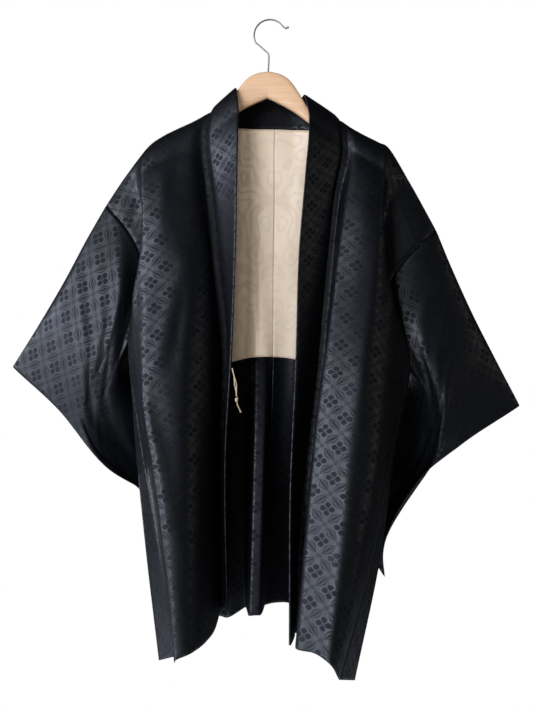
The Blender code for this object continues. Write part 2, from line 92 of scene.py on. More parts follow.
# %% [markdown]
# ## Wiring a material by hand
# A procedural material is a small graph of nodes, usually drawn by hand in the shader editor. Here it is
# written down, so it can be read and changed like any other text. These helpers keep each step to one short
# line: a value or another node's output goes in, and the new node's output comes back.

# %% Arithmetic helpers
from functools import partialmethod


class Steps:
    """A material's node graph, with one method for each kind of step used here."""

    def __init__(self, name):
        self.material = bpy.data.materials.new(name)
        self.material.use_nodes = True
        self.tree = self.material.node_tree
        self.shader = self.tree.nodes["Principled BSDF"]

    def feed(self, socket, value):
        """Links a node's output to the socket, or sets a plain value there."""
        if isinstance(value, bpy.types.NodeSocket):
            self.tree.links.new(value, socket)
        elif value is not None:
            socket.default_value = value

    def node(self, kind, *values, **named):
        """A new node, its first inputs fed in their order and the others by name."""
        made = self.tree.nodes.new("ShaderNode" + kind)
        for socket, value in zip(made.inputs, values):
            self.feed(socket, value)
        for name, value in named.items():
            self.feed(made.inputs[name], value)
        return made

    def math(self, operation, *values):
        made = self.node("Math", *values)
        made.operation = operation
        return made.outputs[0]

    plus = partialmethod(math, "ADD")
    minus = partialmethod(math, "SUBTRACT")
    times = partialmethod(math, "MULTIPLY")
    most = partialmethod(math, "MAXIMUM")

    def step(self, value, low, high, to_low=0.0, to_high=1.0):
        """A soft step from one value to another as the input goes from low to high."""
        made = self.node("MapRange", value, low, high, to_low, to_high)
        made.interpolation_type = "SMOOTHSTEP"
        return made.outputs[0]

    def mix(self, share, one, other):
        made = self.node("Mix")
        made.data_type = "RGBA"
        for place, value in ((0, share), (6, one), (7, other)):
            self.feed(made.inputs[place], value)
        return made.outputs[2]


print("arithmetic steps ready")

# %% [markdown]
# ## Places, noise and the finished material
# A pattern needs to know where it is: on the flat cloth, or in the piece itself. Noise and bump make a
# surface uneven. The last method links what varies, and sets the rest on the shader itself.


# %% Material helpers
class Graph(Steps):
    """A whole material: its places, its noise and its finish."""

    def split(self, vector):
        return self.node("SeparateXYZ", vector).outputs

    def cloth(self):
        """Distance across and down the flat cloth, in metres."""
        flat = self.node("UVMap")
        flat.uv_map = "cloth"
        return self.split(flat.outputs[0])[:2]

    def place(self):
        return self.node("TexCoord").outputs["Object"]

    def joined(self, x, y, z=0.0):
        return self.node("CombineXYZ", x, y, z).outputs[0]

    def noise(self, at, scale, detail=2.0, rough=0.5):
        return self.node("TexNoise", Vector=at, Scale=scale, Detail=detail, Roughness=rough).outputs["Fac"]

    def bump(self, height, distance):
        return self.node("Bump", Height=height, Distance=distance, Strength=1.0).outputs[0]

    def finish(self, colour=None, roughness=None, normal=None, **constant):
        """Links what varies, sets what is the same all over, and returns the material."""
        self.feed(self.shader.inputs["Base Color"], colour)
        self.feed(self.shader.inputs["Roughness"], roughness)
        self.feed(self.shader.inputs["Normal"], normal)
        for name, value in constant.items():
            self.shader.inputs[name.replace("_", " ")].default_value = value
        return self.material


print("material helpers ready")

# %% [markdown]
# ## The damask
# Damask is woven in one colour. Its ground is a satin, smooth and shiny. Its figures are a twill that
# scatters light and shines less, so they look darker than the ground in bright light and a little paler in
# the shade. Wear has rubbed some of them fainter. This one is a traditional lattice. Pointed leaves join at
# small diamonds, and each mesh holds a flower with four petals. All are drawn from the flat cloth's own
# measures, so they follow every fold.

# %% Damask sizes
ACROSS_REPEAT = 0.058
DOWN_REPEAT = 0.0465


def from_line(graph, value):
    """How far a value is from the nearest whole number."""
    return graph.math("PINGPONG", value, 0.5)


def band(graph, value, low, high, soft):
    """One between two limits, and nothing outside them."""
    rises = graph.step(value, low - soft, low + soft)
    return graph.times(rises, graph.step(value, high - soft, high + soft, 1, 0))


print("damask repeats every", ACROSS_REPEAT, "m across and", DOWN_REPEAT, "m down")

# %% [markdown]
# ## The figures of the lattice
# Each figure is a formula that is one inside the form and nothing outside it, with a soft step at the edge.
# A picture of the cloth could be laid on instead, but it would blur close up. A formula stays sharp however
# near the eye comes.

# %% Leaves, diamonds and flowers
LEAF_START = 0.15  # shares of the way from one diamond to the next
LEAF_HALF = 0.19
DIAMOND = 0.075
PETAL_END = 0.225  # share of a repeat


def leaves(graph, along, aside):
    """Pointed leaves from diamond to diamond, each an outline with a paler heart."""
    place = graph.minus(from_line(graph, along), LEAF_START)
    open_share = graph.math("DIVIDE", graph.most(place, 0), 0.5 - LEAF_START)
    width = graph.times(graph.math("POWER", open_share, 0.7), LEAF_HALF)
    share = graph.math("DIVIDE", from_line(graph, aside), graph.most(width, 0.001))
    outline = band(graph, share, 0.72, 1.0, 0.07)
    heart = graph.step(share, 0.30, 0.46, 0.75, 0)
    return graph.times(graph.most(outline, heart), graph.step(place, 0, 0.03))


def diamonds(graph, a, b):
    """Four dots in a diamond where the leaves meet, with a smaller dot before each leaf."""
    near = graph.most(from_line(graph, a), from_line(graph, b))
    cross = graph.math("MINIMUM", from_line(graph, a), from_line(graph, b))
    four = graph.times(graph.step(near, DIAMOND - 0.01, DIAMOND + 0.01, 1, 0),
                      graph.step(cross, 0.008, 0.020))
    before = graph.times(band(graph, near, 0.105, 0.14, 0.008), graph.step(cross, 0.014, 0.028, 1, 0))
    return graph.most(four, before)


def flowers(graph, p, q):
    """Four petals round the middle of each mesh, given in shares of a repeat from that middle."""
    far = graph.math("SQRT", graph.plus(graph.times(p, p), graph.times(q, q)))
    lobes = graph.math("ABSOLUTE", graph.math("COSINE", graph.times(graph.math("ARCTAN2", q, p), 2)))
    reach = graph.times(graph.math("POWER", lobes, 0.35), PETAL_END)
    petals = graph.times(graph.step(far, 0.045, 0.06), graph.step(lobes, 0.22, 0.42))
    petals = graph.times(petals, graph.step(graph.minus(reach, far), 0, 0.018))
    return graph.most(petals, graph.step(far, 0.018, 0.03, 1, 0))


print("figures: leaves, diamonds and flowers")

# %% [markdown]
# ## The black silk
# The figures change three things in the satin: the black is slightly paler, the gloss duller and the shine
# weaker. Slubs, which are thick places in the thread, and soft clouds keep the cloth from looking printed.

# %% Black silk
INK = (0.0008, 0.0011, 0.0018, 1)
INK_FIGURE = (0.0024, 0.0030, 0.0046, 1)
SATIN_GLOSS, FIGURE_GLOSS = 0.42, 0.60
SATIN_SHINE, FIGURE_SHINE = (1, 1, 1, 1), (0.43, 0.43, 0.47, 1)
TWILL_PITCH = 0.0011
SILK_RELIEF = 0.00005
GLOSS_UNEVEN = 0.08


def damask():
    graph = Graph("black damask silk")
    across, down = graph.cloth()
    u = graph.math("DIVIDE", across, ACROSS_REPEAT)
    v = graph.math("DIVIDE", down, DOWN_REPEAT)
    a, b = graph.plus(u, v), graph.minus(u, v)
    mesh_a, mesh_b = graph.math("FLOOR", a), graph.math("FLOOR", b)
    middle_u = graph.times(graph.plus(graph.plus(mesh_a, mesh_b), 1), 0.5)
    middle_v = graph.times(graph.minus(mesh_a, mesh_b), 0.5)
    figure = flowers(graph, graph.minus(u, middle_u), graph.minus(v, middle_v))
    for form in (leaves(graph, a, b), leaves(graph, b, a), diamonds(graph, a, b)):
        figure = graph.most(figure, form)
    slub = graph.noise(graph.joined(graph.times(across, 260), graph.times(down, 18)), 1, 3)
    cloud = graph.noise(graph.joined(across, down), 14, 3)
    worn = graph.step(graph.plus(cloud, graph.times(slub, 0.7)), 0.80, 1.15, 1.0, 0.55)
    figure = graph.times(figure, worn)
    colour = graph.mix(figure, INK, INK_FIGURE)
    gloss = graph.step(figure, 0, 1, SATIN_GLOSS, FIGURE_GLOSS)
    for uneven in (cloud, slub):
        gloss = graph.plus(gloss, graph.times(graph.minus(uneven, 0.5), GLOSS_UNEVEN))
    twill = graph.math("SINE", graph.times(graph.plus(across, down), 2 * math.pi / TWILL_PITCH))
    weave = graph.times(graph.times(twill, figure), 0.5)
    height = graph.plus(weave, graph.times(slub, 1.2))
    normal = graph.bump(graph.plus(height, figure), SILK_RELIEF)
    graph.feed(graph.shader.inputs["Specular Tint"], graph.mix(figure, SATIN_SHINE, FIGURE_SHINE))
    return graph.finish(colour, gloss, normal, Specular_IOR_Level=0.6)


silk = damask()
print("made", silk.name)

# %% [markdown]
# ## Lining and cord
# The lining is a thin cream silk, a little uneven in colour, with a faint woven figure. It is too faint to
# be drawn leaf by leaf as the damask is, so a band cut out of soft noise stands for it. The cord is two
# twisted strands of silk floss, pale and matt, with fine fibres.


# %% Lining and cord
LINING_SHADE, LINING_CREAM = (0.56, 0.42, 0.29, 1), (0.82, 0.72, 0.58, 1)


def lining_silk():
    graph = Graph("cream lining silk")
    across, down = graph.cloth()
    cloud = graph.noise(graph.joined(across, down), 9, 4, 0.55)
    thread = graph.noise(graph.joined(graph.times(across, 900), graph.times(down, 60)), 1, 2)
    figure = graph.noise(graph.joined(graph.times(across, 1.3), down), 17, 1)
    figure = band(graph, from_line(graph, graph.times(figure, 4)), 0.22, 0.36, 0.06)
    colour = graph.mix(cloud, LINING_SHADE, LINING_CREAM)
    colour = graph.mix(graph.times(figure, 0.30), colour, (0.52, 0.44, 0.36, 1))
    gloss = graph.step(figure, 0, 1, 0.38, 0.5)
    normal = graph.bump(graph.plus(thread, graph.times(figure, 0.4)), 0.00006)
    return graph.finish(colour, gloss, normal, Sheen_Weight=0.15, Specular_IOR_Level=0.5)


def twisted_silk():
    graph = Graph("straw coloured cord")
    place = graph.place()
    fibre = graph.noise(place, 900, 3)
    colour = graph.mix(fibre, (0.34, 0.25, 0.14, 1), (0.66, 0.55, 0.38, 1))
    return graph.finish(colour, 0.7, graph.bump(fibre, 0.0003), Sheen_Weight=0.3)


cream, straw = lining_silk(), twisted_silk()
print("made", cream.name, "and", straw.name)

# %% [markdown]
# ## Wood and wire
# The hanger is pale wood with long straight grain, and its hook is drawn steel wire, gone a little dull.
# Grain is noise that is stretched far along the board, so no picture of wood is needed and the end grain is
# right too.

# %% Wood and wire
WOOD_DARK, WOOD_PALE, WOOD_PORE = (0.60, 0.375, 0.215, 1), (0.67, 0.44, 0.265, 1), (0.42, 0.25, 0.13, 1)


def pale_wood():
    graph = Graph("pale wood")
    place = graph.place()
    x, y, z = graph.split(place)
    height = graph.plus(z, graph.times(graph.noise(place, 9, 2), 0.012))
    stretched = graph.joined(graph.times(x, 14), graph.times(y, 220), graph.times(height, 260))
    grain = graph.noise(stretched, 1, 4, 0.6)
    pores = graph.noise(stretched, 5, 2)
    colour = graph.mix(graph.step(grain, 0.3, 0.7), WOOD_DARK, WOOD_PALE)
    colour = graph.mix(graph.step(pores, 0.68, 0.8, 0, 0.3), colour, WOOD_PORE)
    gloss = graph.step(grain, 0.3, 0.7, 0.52, 0.44)
    return graph.finish(colour, gloss, graph.bump(pores, 0.00015), Coat_Weight=0.15, Coat_Roughness=0.35)


def drawn_wire():
    graph = Graph("bright wire")
    scratch = graph.noise(graph.place(), 420, 2)
    colour = graph.mix(scratch, (0.40, 0.375, 0.34, 1), (0.52, 0.49, 0.45, 1))
    gloss = graph.step(scratch, 0.3, 0.7, 0.46, 0.56)
    return graph.finish(colour, gloss, Metallic=0.85)


wood, wire = pale_wood(), drawn_wire()
print("finishes:", [m.name for m in (silk, cream, straw, wood, wire)])

# %% [markdown]
# ## Smooth curves through a few known points
# A fold or a seam is known at a few levels only, and a curve fills in the rest. Blender's own curves would
# do, but they can swing past their points and make a ripple that isn't there. This one never does, so a
# straight stretch stays straight. Wires and cords use a freer curve.


# %% Curve helpers
def between(start, end, leaving, arriving, t):
    """The cubic curve from start to end with the slopes given, at a share t of the way."""
    return (
        start * (2 * t**3 - 3 * t**2 + 1)
        + leaving * (t**3 - 2 * t**2 + t)
        + end * (3 * t**2 - 2 * t**3)
        + arriving * (t**3 - t**2)
    )


def smooth(knots, values, at):
    """Values on a curve through the knots that doesn't swing past them, one column of values at a time."""
    knots, values, at = np.asarray(knots, float), np.asarray(values, float), np.asarray(at, float)
    step = np.diff(knots)[:, None]
    slope = np.diff(values, axis=0) / step
    tangent = np.empty_like(values)
    tangent[0], tangent[-1] = slope[0], slope[-1]
    before, after = slope[:-1], slope[1:]
    mean = (before * step[1:] + after * step[:-1]) / (step[1:] + step[:-1])
    limit = 3 * np.minimum(abs(before), abs(after))
    tangent[1:-1] = np.where(before * after > 0, np.clip(mean, -limit, limit), 0)
    i = np.clip(np.searchsorted(knots, at, side="right") - 1, 0, len(knots) - 2)
    width = step[i]
    t = (at - knots[i])[:, None] / width
    return between(values[i], values[i + 1], tangent[i] * width, tangent[i + 1] * width, t)


def flowing(points, at):
    """A curve through points in space, for wires, cords and folds."""
    points = np.asarray(points, float)
    last = len(points) - 1
    tangent = np.gradient(points, axis=0)
    i = np.clip(np.floor(at).astype(int), 0, last - 1)
    return between(points[i], points[i + 1], tangent[i], tangent[i + 1], (at - i)[:, None])


def along(points):
    """Distance travelled at each point of a path."""
    return np.concatenate([[0], np.cumsum(np.linalg.norm(np.diff(points, axis=0), axis=1))])


print("curve helpers ready")

# %% [markdown]
# ## From points to a piece
# Blender keeps a mesh apart from the object that shows it. This helper makes both from points and faces,
# and gives the piece its finish. A place on the flat cloth is kept for each corner, where a picture would
# keep its own coordinates. That is how the damask's figures know where they are.


# %% Pieces
def link(name, vertices, faces, material, cloth=None):
    """A named mesh object with smooth faces, and its place on the flat cloth where it has one."""
    mesh = bpy.data.meshes.new(name)
    mesh.from_pydata(np.asarray(vertices, float).tolist(), [], [list(map(int, face)) for face in faces])
    if cloth is not None:
        mesh.uv_layers.new(name="cloth").uv.foreach_set("vector", np.asarray(cloth, np.float32).ravel())
    mesh.shade_smooth()
    mesh.materials.append(material)
    made = bpy.data.objects.new(name, mesh)
    bpy.context.scene.collection.objects.link(made)
    return made


print("a piece keeps its places on the flat cloth in a layer named cloth")

# %% [markdown]
# ## Tubes
# A wire, a strand of cord and a hanger are all tubes: rings of points along a path, joined by quads and
# closed at both ends. A curve with a round bevel is the quick way to a tube. Rings made by hand can also
# change their width, as a rounded tip or a frayed fibre needs.


# %% Tubes
def sides_of(path, near):
    """Two directions square to a path at each point, found from a direction that it never takes."""
    ahead = np.gradient(path, axis=0)
    ahead /= np.linalg.norm(ahead, axis=1, keepdims=True)
    aside = np.cross(ahead, near)
    aside /= np.linalg.norm(aside, axis=1, keepdims=True)
    return aside, np.cross(ahead, aside)


def tube_faces(rings, sides):
    """Faces of a closed tube, given how many rings it has and how many points are in each."""
    last = (rings - 1) * sides
    faces = []
    for i in range(0, last, sides):
        for k in range(sides):
            a, b = i + k, i + (k + 1) % sides
            faces.append((a, b, b + sides, a + sides))
    return faces + [tuple(range(sides))[::-1], tuple(range(last, last + sides))]


def swept(path, widths, sides=8):
    """Vertices and faces of a closed round tube along a path, with a width at each point."""
    path = np.asarray(path, float)
    aside, other = sides_of(path, (0.31, 1.0, 0.17))
    turn = np.linspace(0, 2 * np.pi, sides, endpoint=False)[None, :, None]
    radius = np.broadcast_to(np.asarray(widths, float), (len(path),))[:, None, None] / 2
    ring = path[:, None] + radius * (np.cos(turn) * aside[:, None] + np.sin(turn) * other[:, None])
    return ring.reshape(-1, 3), tube_faces(len(path), sides)


print("tube helpers ready")

# %% [markdown]
# ## Twisted strands
# A twisted strand is a tube whose path winds round another path. Several such tubes can be one mesh, as the
# strands of one cord are one thing to handle.


# %% Strands
def gathered(parts):
    """Several closed meshes as one list of vertices and faces."""
    vertices, faces, count = [], [], 0
    for points, quads in parts:
        vertices.append(points)
        faces += [tuple(corner + count for corner in face) for face in quads]
        count += len(points)
    return np.concatenate(vertices), faces


def helix(path, radius, pitch, phase):
    """A line that winds round a path."""
    aside, other = sides_of(path, (0.0, 1.0, 0.0))
    turn = (along(path) / pitch * 2 * np.pi + phase)[:, None]
    return path + radius * (np.cos(turn) * aside + np.sin(turn) * other)


print("strand helpers ready")

# %% [markdown]
# ## The tie loop
# A haori closes with a pair of cords that hook on to small loops at the collar's edge. Here a loop of two
# twisted strands hangs from the left edge. It is pulled narrow by its own weight, ends in a knot, and a
# frayed tail comes out below. Each strand is swept along a helix round the loop's path.

# %% Tie loop
TIE_ROUTE = np.array([
    (-62.5, -74.5, -609), (-61.5, -77, -613), (-59.8, -78, -620), (-58.2, -78, -628), (-56.9, -78, -637),
    (-55.9, -78, -646), (-55.4, -78, -655.5),
]) * MM
STRAND = 0.00078
TWIST_PITCH = 0.0056
OPENING = ((0, 0.35, 0.62, 0.9, 1), (0.0, 0.0003, 0.0016, 0.0010, 0.0004))  # share of the way, metres apart
tie_path = flowing(TIE_ROUTE, np.linspace(0, len(TIE_ROUTE) - 1, 90))
slack = np.interp(np.linspace(0, 1, 90), *OPENING)[:, None]
swing = np.cos(np.linspace(0, 1.6 * np.pi, 90))[:, None]
strands = []
for side in (-1, 1):
    apart = tie_path + side * slack * np.array((1, -0.3, 0)) * swing
    for phase in (0, np.pi):
        strands.append(swept(helix(apart, STRAND * 0.6, TWIST_PITCH, phase + side), STRAND * 1.45))
tie_strands = link("tie_strands", *gathered(strands), straw)

# %% [markdown]
# ## The knot and the tail
# The knot is one short cord that winds round itself, with a turn laid over it. The tail is two loose
# strands, and a few single fibres fray from its end. They are drawn at random, always from the same seed.

# %% Knot and tail
TAIL_ROUTE = np.array([
    (-54.8, -78, -663.5), (-53.6, -78, -669.5), (-50.8, -78, -676), (-48.0, -78, -681.5),
]) * MM
KNOT_PLACE = np.array((-55.1, -78, -660.4)) * MM
KNOT_CORD, KNOT_TURNS = 0.0019, 2.6
KNOT_WIDE, KNOT_DEEP, KNOT_TALL = 0.0034, 0.0030, 0.0048
TAIL_STRAND, TAIL_TWIST = 0.0011, 0.007
FIBRES = 16
FIBRE_ROOT, FIBRE_TIP = 0.00035, 0.00015
FRAY = 0.0011  # how far the fibres spread

knot_turn = np.linspace(0, 2 * np.pi * KNOT_TURNS, 90)
knot_line = KNOT_PLACE + np.column_stack([
    KNOT_WIDE / 2 * np.cos(knot_turn), KNOT_DEEP / 2 * np.sin(knot_turn),
    np.linspace(KNOT_TALL / 2, -KNOT_TALL / 2, 90)])
knot_over = KNOT_PLACE + np.column_stack([
    np.linspace(-0.0014, 0.0016, 30), -KNOT_CORD * np.sin(np.linspace(0.3, 2.8, 30)),
    np.linspace(-0.003, 0.003, 30)])
knot_wraps = link("knot_wraps", *gathered([swept(line, KNOT_CORD) for line in (knot_line, knot_over)]), straw)

tail_path = flowing(TAIL_ROUTE, np.linspace(0, len(TAIL_ROUTE) - 1, 40))
tail_parts = [swept(helix(tail_path, 0.0006, TAIL_TWIST, phase), TAIL_STRAND) for phase in (0, np.pi)]
dice = np.random.default_rng(7)
for _ in range(FIBRES):
    start = tail_path[-1 - dice.integers(0, 9)]
    spread = dice.normal(0, FRAY, 3) * (1, 0.6, 1)
    end = start + (tail_path[-1] - tail_path[-4]) * dice.uniform(0.2, 0.9) + spread
    bend = (start + end) / 2 + dice.normal(0, 0.0003, 3)
    fibre = flowing([start, bend, end], np.linspace(0, 2, 8))
    tail_parts.append(swept(fibre, np.linspace(FIBRE_ROOT, FIBRE_TIP, 8), 5))
frayed_tail = link("frayed_tail", *gathered(tail_parts), straw)
print("tail: %.1f mm" % (along(tail_path)[-1] / MM))

# %% [markdown]
# ## Where the lines of the cloth run
# A garment hangs in lines: its seams, and the ridges and valleys between them. Each table has a row for one
# line, with its height at the top and at the hem, and then its place (x, y) at each level down the cloth. A
# sleeve's table has a row for each level and four places from the arm seam to the wrist. All are in
# millimetres, and they are the lines of the solids. A few points lie some millimetres off them, where thin
# cloth hangs closer than a thick wall can.

# %% Lines of the two fronts
SHOULDER, YOKE, CHEST, UNDERARM, WAIST, HIP, HEM = FRONT_LEVELS = (0, 0.06, 0.16, 0.32, 0.5, 0.75, 1)

# One row for each line: (height at the top, height at the hem, (x, y) at each level), all in mm
LEFT_FRONT = {
    "collar seam": (-160, -1024, [
        (-100, 0), (-106, -15), (-97, -18), (-85, -18), (-71, -15), (-74, -20), (-71, -28)]),
    "valley": (-166, -1027, [
        (-112, 0), (-118, -15), (-110, -18), (-98, -19), (-84, -17), (-87, -22), (-84, -31)]),
    "collar ridge": (-178, -1036, [
        (-133, 0), (-136, -20), (-127, -34), (-113, -46), (-101, -56), (-95, -80), (-93, -105)]),
    "inner bulge": (-192, -1042, [
        (-163, 0), (-163, -24), (-156, -42), (-154, -62), (-144, -92), (-126, -130), (-118, -160)]),
    "bulge": (-205, -1050, [
        (-188, 0), (-190, -27), (-188, -48), (-200, -62), (-197, -97), (-164, -142), (-143, -170)]),
    "side crease": (-224, -1062, [
        (-213, 0), (-218, -28), (-217, -42), (-227, -46), (-213, -84), (-178, -128), (-148, -152)]),
    "side valley": (-270, -1068, [
        (-250, 0), (-230, -9), (-206, -16), (-237, -37), (-220, -66), (-184, -104), (-150, -126)]),
    "side seam": (-325, -1073, [
        (-287, 0), (-248, -12), (-221, -10), (-244, -26), (-223, -50), (-185, -80), (-150, -100)]),
}
RIGHT_FRONT = {
    "collar seam": (-174, -1033, [
        (118, 0), (123, -16), (109, -20), (93, -30), (78, -48), (51, -77), (36, -110)]),
    "valley": (-180, -1030, [
        (129, 0), (135, -16), (121, -20), (106, -31), (91, -50), (63, -80), (49, -112)]),
    "collar ridge": (-190, -1026, [
        (143, 0), (147, -22), (132, -40), (110, -60), (87, -94), (59, -140), (37, -182)]),
    "inner bulge": (-204, -1024, [
        (168, 0), (168, -26), (158, -52), (138, -76), (115, -118), (88, -164), (62, -206)]),
    "bulge": (-215, -1036, [
        (190, 0), (187, -28), (182, -54), (169, -82), (147, -128), (118, -178), (87, -221)]),
    "side crease": (-228, -1062, [
        (210, 0), (197, -30), (192, -45), (199, -66), (180, -118), (146, -168), (99, -202)]),
    "side valley": (-290, -1076, [
        (248, 0), (209, -9), (184, -18), (219, -44), (201, -88), (162, -138), (104, -176)]),
    "side seam": (-370, -1089, [
        (292, 0), (243, -14), (204, -12), (241, -28), (208, -56), (168, -96), (106, -150)]),
}
print("yoke at", YOKE, "of the way down; lines in the fronts:", len(LEFT_FRONT), "and", len(RIGHT_FRONT))

# %% [markdown]
# ## The lines of the back
# The back has one more level, at the neck. A narrow pipe of spare cloth hangs beside its centre seam. Both
# halves share that seam, so they meet.

# %% Lines of the left back
NECK = 0.03
BACK_LEVELS = (SHOULDER, NECK, 0.09, CHEST, UNDERARM, WAIST, HIP, HEM)
LEFT_BACK = {
    "centre seam": (-159, -1022, [
        (9, 22), (9, 22), (8, 24), (8, 26), (6, 27), (5, 24), (-3, 10), (-10, -10)]),
    "pipe fold, near side": (-159, -1022, [
        (-12, 22), (-12, 22), (-11, 24), (-11, 25), (-10, 25), (-8, 15), (-13, -22), (-19, -60)]),
    "pipe fold, far side": (-159, -1023, [
        (-29, 21), (-29, 21), (-27, 24), (-26, 25), (-25, 24), (-22, 14), (-27, -22), (-33, -60)]),
    "pipe foot": (-158, -1028, [
        (-54, 18), (-54, 19), (-50, 24), (-48, 25), (-45, 25), (-40, 22), (-42, 10), (-44, -6)]),
    "collar seam": (-160, -1043, [
        (-100, 0), (-92, 13), (-90, 19), (-87, 22), (-82, 24), (-76, 24), (-72, 14), (-70, -10)]),
    "valley": (-166, -1047, [
        (-112, 0), (-110, 13), (-106, 19), (-102, 23), (-98, 27), (-92, 28), (-87, 22), (-84, 4)]),
    "collar ridge": (-178, -1048, [
        (-133, 0), (-132, 13), (-128, 20), (-124, 25), (-118, 30), (-112, 34), (-106, 32), (-100, 18)]),
    "inner bulge": (-192, -1066, [
        (-163, 0), (-162, 14), (-160, 22), (-156, 29), (-152, 36), (-146, 43), (-138, 46), (-132, 42)]),
    "bulge": (-205, -1084, [
        (-188, 0), (-189, 14), (-190, 24), (-189, 32), (-186, 38), (-180, 44), (-168, 47), (-158, 46)]),
    "side crease": (-224, -1096, [
        (-213, 0), (-216, 15), (-218, 27), (-217, 35), (-220, 32), (-210, 36), (-194, 38), (-180, 28)]),
    "side valley": (-270, -1102, [
        (-250, 0), (-240, 6), (-220, 8), (-206, 15), (-230, 17), (-228, 14), (-207, 8), (-190, -6)]),
    "side seam": (-325, -1104, [
        (-287, 0), (-267, 7), (-240, 11), (-221, 12), (-246, 5), (-234, -22), (-212, -40), (-188, -45)]),
}
print("lines in the left back:", len(LEFT_BACK))

# %% [markdown]
# ## The right half of the back
# The right half starts from the same centre seam. Its spare cloth lies in one soft fold, so one line is
# enough for it, where the narrow pipe on the left has two.

# %% Lines of the right back
RIGHT_BACK = {
    "centre seam": LEFT_BACK["centre seam"],
    "pipe fold": (-160, -1024, [
        (38, 20), (38, 22), (36, 24), (34, 26), (30, 28), (26, 30), (14, 24), (6, 6)]),
    "pipe foot": (-163, -1030, [
        (75, 14), (72, 16), (66, 21), (62, 24), (57, 28), (51, 32), (38, 34), (28, 26)]),
    "collar seam": (-174, -1040, [
        (118, 0), (110, 13), (105, 19), (98, 26), (90, 32), (82, 37), (66, 42), (50, 40)]),
    "valley": (-180, -1046, [
        (129, 0), (125, 13), (121, 20), (114, 29), (106, 35), (98, 41), (81, 48), (64, 50)]),
    "collar ridge": (-190, -1056, [
        (143, 0), (142, 13), (138, 22), (131, 32), (122, 39), (114, 45), (97, 54), (79, 58)]),
    "inner bulge": (-204, -1074, [
        (168, 0), (168, 14), (166, 25), (160, 36), (152, 42), (144, 50), (124, 60), (104, 62)]),
    "bulge": (-215, -1094, [
        (190, 0), (190, 15), (188, 26), (182, 36), (180, 41), (174, 49), (150, 57), (128, 54)]),
    "side crease": (-228, -1108, [
        (210, 0), (204, 16), (198, 29), (193, 39), (203, 38), (196, 40), (170, 42), (142, 30)]),
    "side valley": (-290, -1114, [
        (248, 0), (234, 6), (209, 9), (184, 17), (219, 20), (208, 14), (182, 4), (146, -20)]),
    "side seam": (-370, -1118, [
        (292, 0), (266, 8), (234, 12), (207, 11), (243, 0), (214, -34), (185, -52), (138, -88)]),
}
print("lines in the right back:", len(RIGHT_BACK))

# %% [markdown]
# ## The lines of the collar and sleeves
# The collar needs one more line, its fold edge. A sleeve hangs in two layers, and the back one lies deeper
# by the sleeve depths. Its free inner edge starts at the underarm.

# %% Lines of the collar and sleeves
# The collar's fold edge, at the front levels, and round the back of the neck
LEFT_FOLD = (-122, -1009, [(-58, 0), (-53, -36), (-54, -56), (-56, -70), (-62, -73), (-73, -77), (-69, -83)])
RIGHT_FOLD = (-134, -1029, [(58, 0), (66, -38), (59, -54), (47, -66), (41, -94), (30, -130), (28, -166)])
NECK_FOLD = ((-50, 22, -121), (-25, 33, -120), (3, 36, -121), (31, 33, -124), (52, 21, -130))
COLLAR_OPENING = 0.0042  # between the collar's two halves

# Sleeves. A row for each level down the sleeve: (x, y, z) of four lines from the arm seam to the wrist, in mm
SLEEVE_LEVELS = ("fold", "upper arm", "underarm", "lower", "bottom")
LEFT_SLEEVE = {
    "fold": [(-322, 0, -387), (-362, 0, -462), (-406, 0, -536), (-451, 0, -608)],
    "upper arm": [(-268, -30, -512), (-307, -37, -582), (-342, -20, -640), (-366, -8, -686)],
    "underarm": [(-272, -22, -626), (-304, -9, -690), (-308, 2, -744), (-290, 6, -784)],
    "lower": [(-214, 62, -728), (-238, 50, -786), (-228, 44, -836), (-194, 56, -864)],
    "bottom": [(-94, 88, -797), (-116, 84, -866), (-136, 78, -930), (-150, 70, -988)],
}
RIGHT_SLEEVE = {
    "fold": [(318, 0, -434), (355, 0, -516), (397, 0, -598), (438, 0, -676)],
    "upper arm": [(258, -28, -552), (296, -34, -622), (322, -20, -690), (336, -8, -742)],
    "underarm": [(278, -13, -662), (292, -10, -726), (284, -2, -780), (253, 4, -818)],
    "lower": [(230, 56, -776), (240, 49, -836), (222, 50, -890), (207, 52, -940)],
    "bottom": [(120, 92, -842), (148, 88, -900), (180, 82, -950), (213, 70, -998)],
}
LEFT_FREE_EDGE = [(-250, 3, -592), (-182, 66, -664), (-74, 94, -730)]  # the inner edge below the underarm
RIGHT_FREE_EDGE = [(244, 5, -626), (196, 62, -706), (94, 98, -778)]
SLEEVE_DEPTH = {
    "upper arm": (34, 44, 38, 30),
    "underarm": (24, 27, 29, 28),
    "lower": (18, 18, 16, 10),
    "bottom": (6, 6, 6, 4),
}
FREE_EDGE_DEPTH = (16, 16, 6)
FREE_EDGE_LEVELS = (1, 1.12, 1.5, 2)
print("levels down a sleeve:", ", ".join(SLEEVE_LEVELS))

# %% [markdown]
# ## From lines to a fine grid of cloth
# A cloth simulation could drape the jacket, but it would choose its own folds. These folds are known, so
# the cloth is spun between their lines. Rows run down the cloth, several times finer than in the solids,
# with more of them where it bends over the hanger.

# %% Rows down the cloth
GUSSET_TOP = 0.38
FACING_TOP = 0.512
FINE_STEP = 0.0058


def rows_between(marks, step):
    """Levels from the first mark to the last, with every mark among them."""
    pieces = [np.linspace(a, b, max(2, math.ceil((b - a) / step) + 1))[:-1] for a, b in zip(marks, marks[1:])]
    return np.concatenate([*pieces, [marks[-1]]])


OVER_HANGER = NECK * np.linspace(0, 1, 10)[:-1] ** 1.8
ROWS = np.concatenate([OVER_HANGER, rows_between(
    (NECK, UNDERARM, GUSSET_TOP, WAIST, FACING_TOP, HEM), FINE_STEP)])


def row_at(level):
    return int(np.argmin(abs(ROWS - level)))


print("rows down the cloth:", len(ROWS))

# %% [markdown]
# ## Lines, grids and flat places
# One row of a table becomes one line down the cloth, and the lines of a panel become a grid. Over the
# hanger the cloth bends like an arch. Each grid also keeps its distances across and down the flat cloth,
# which place the damask's figures.

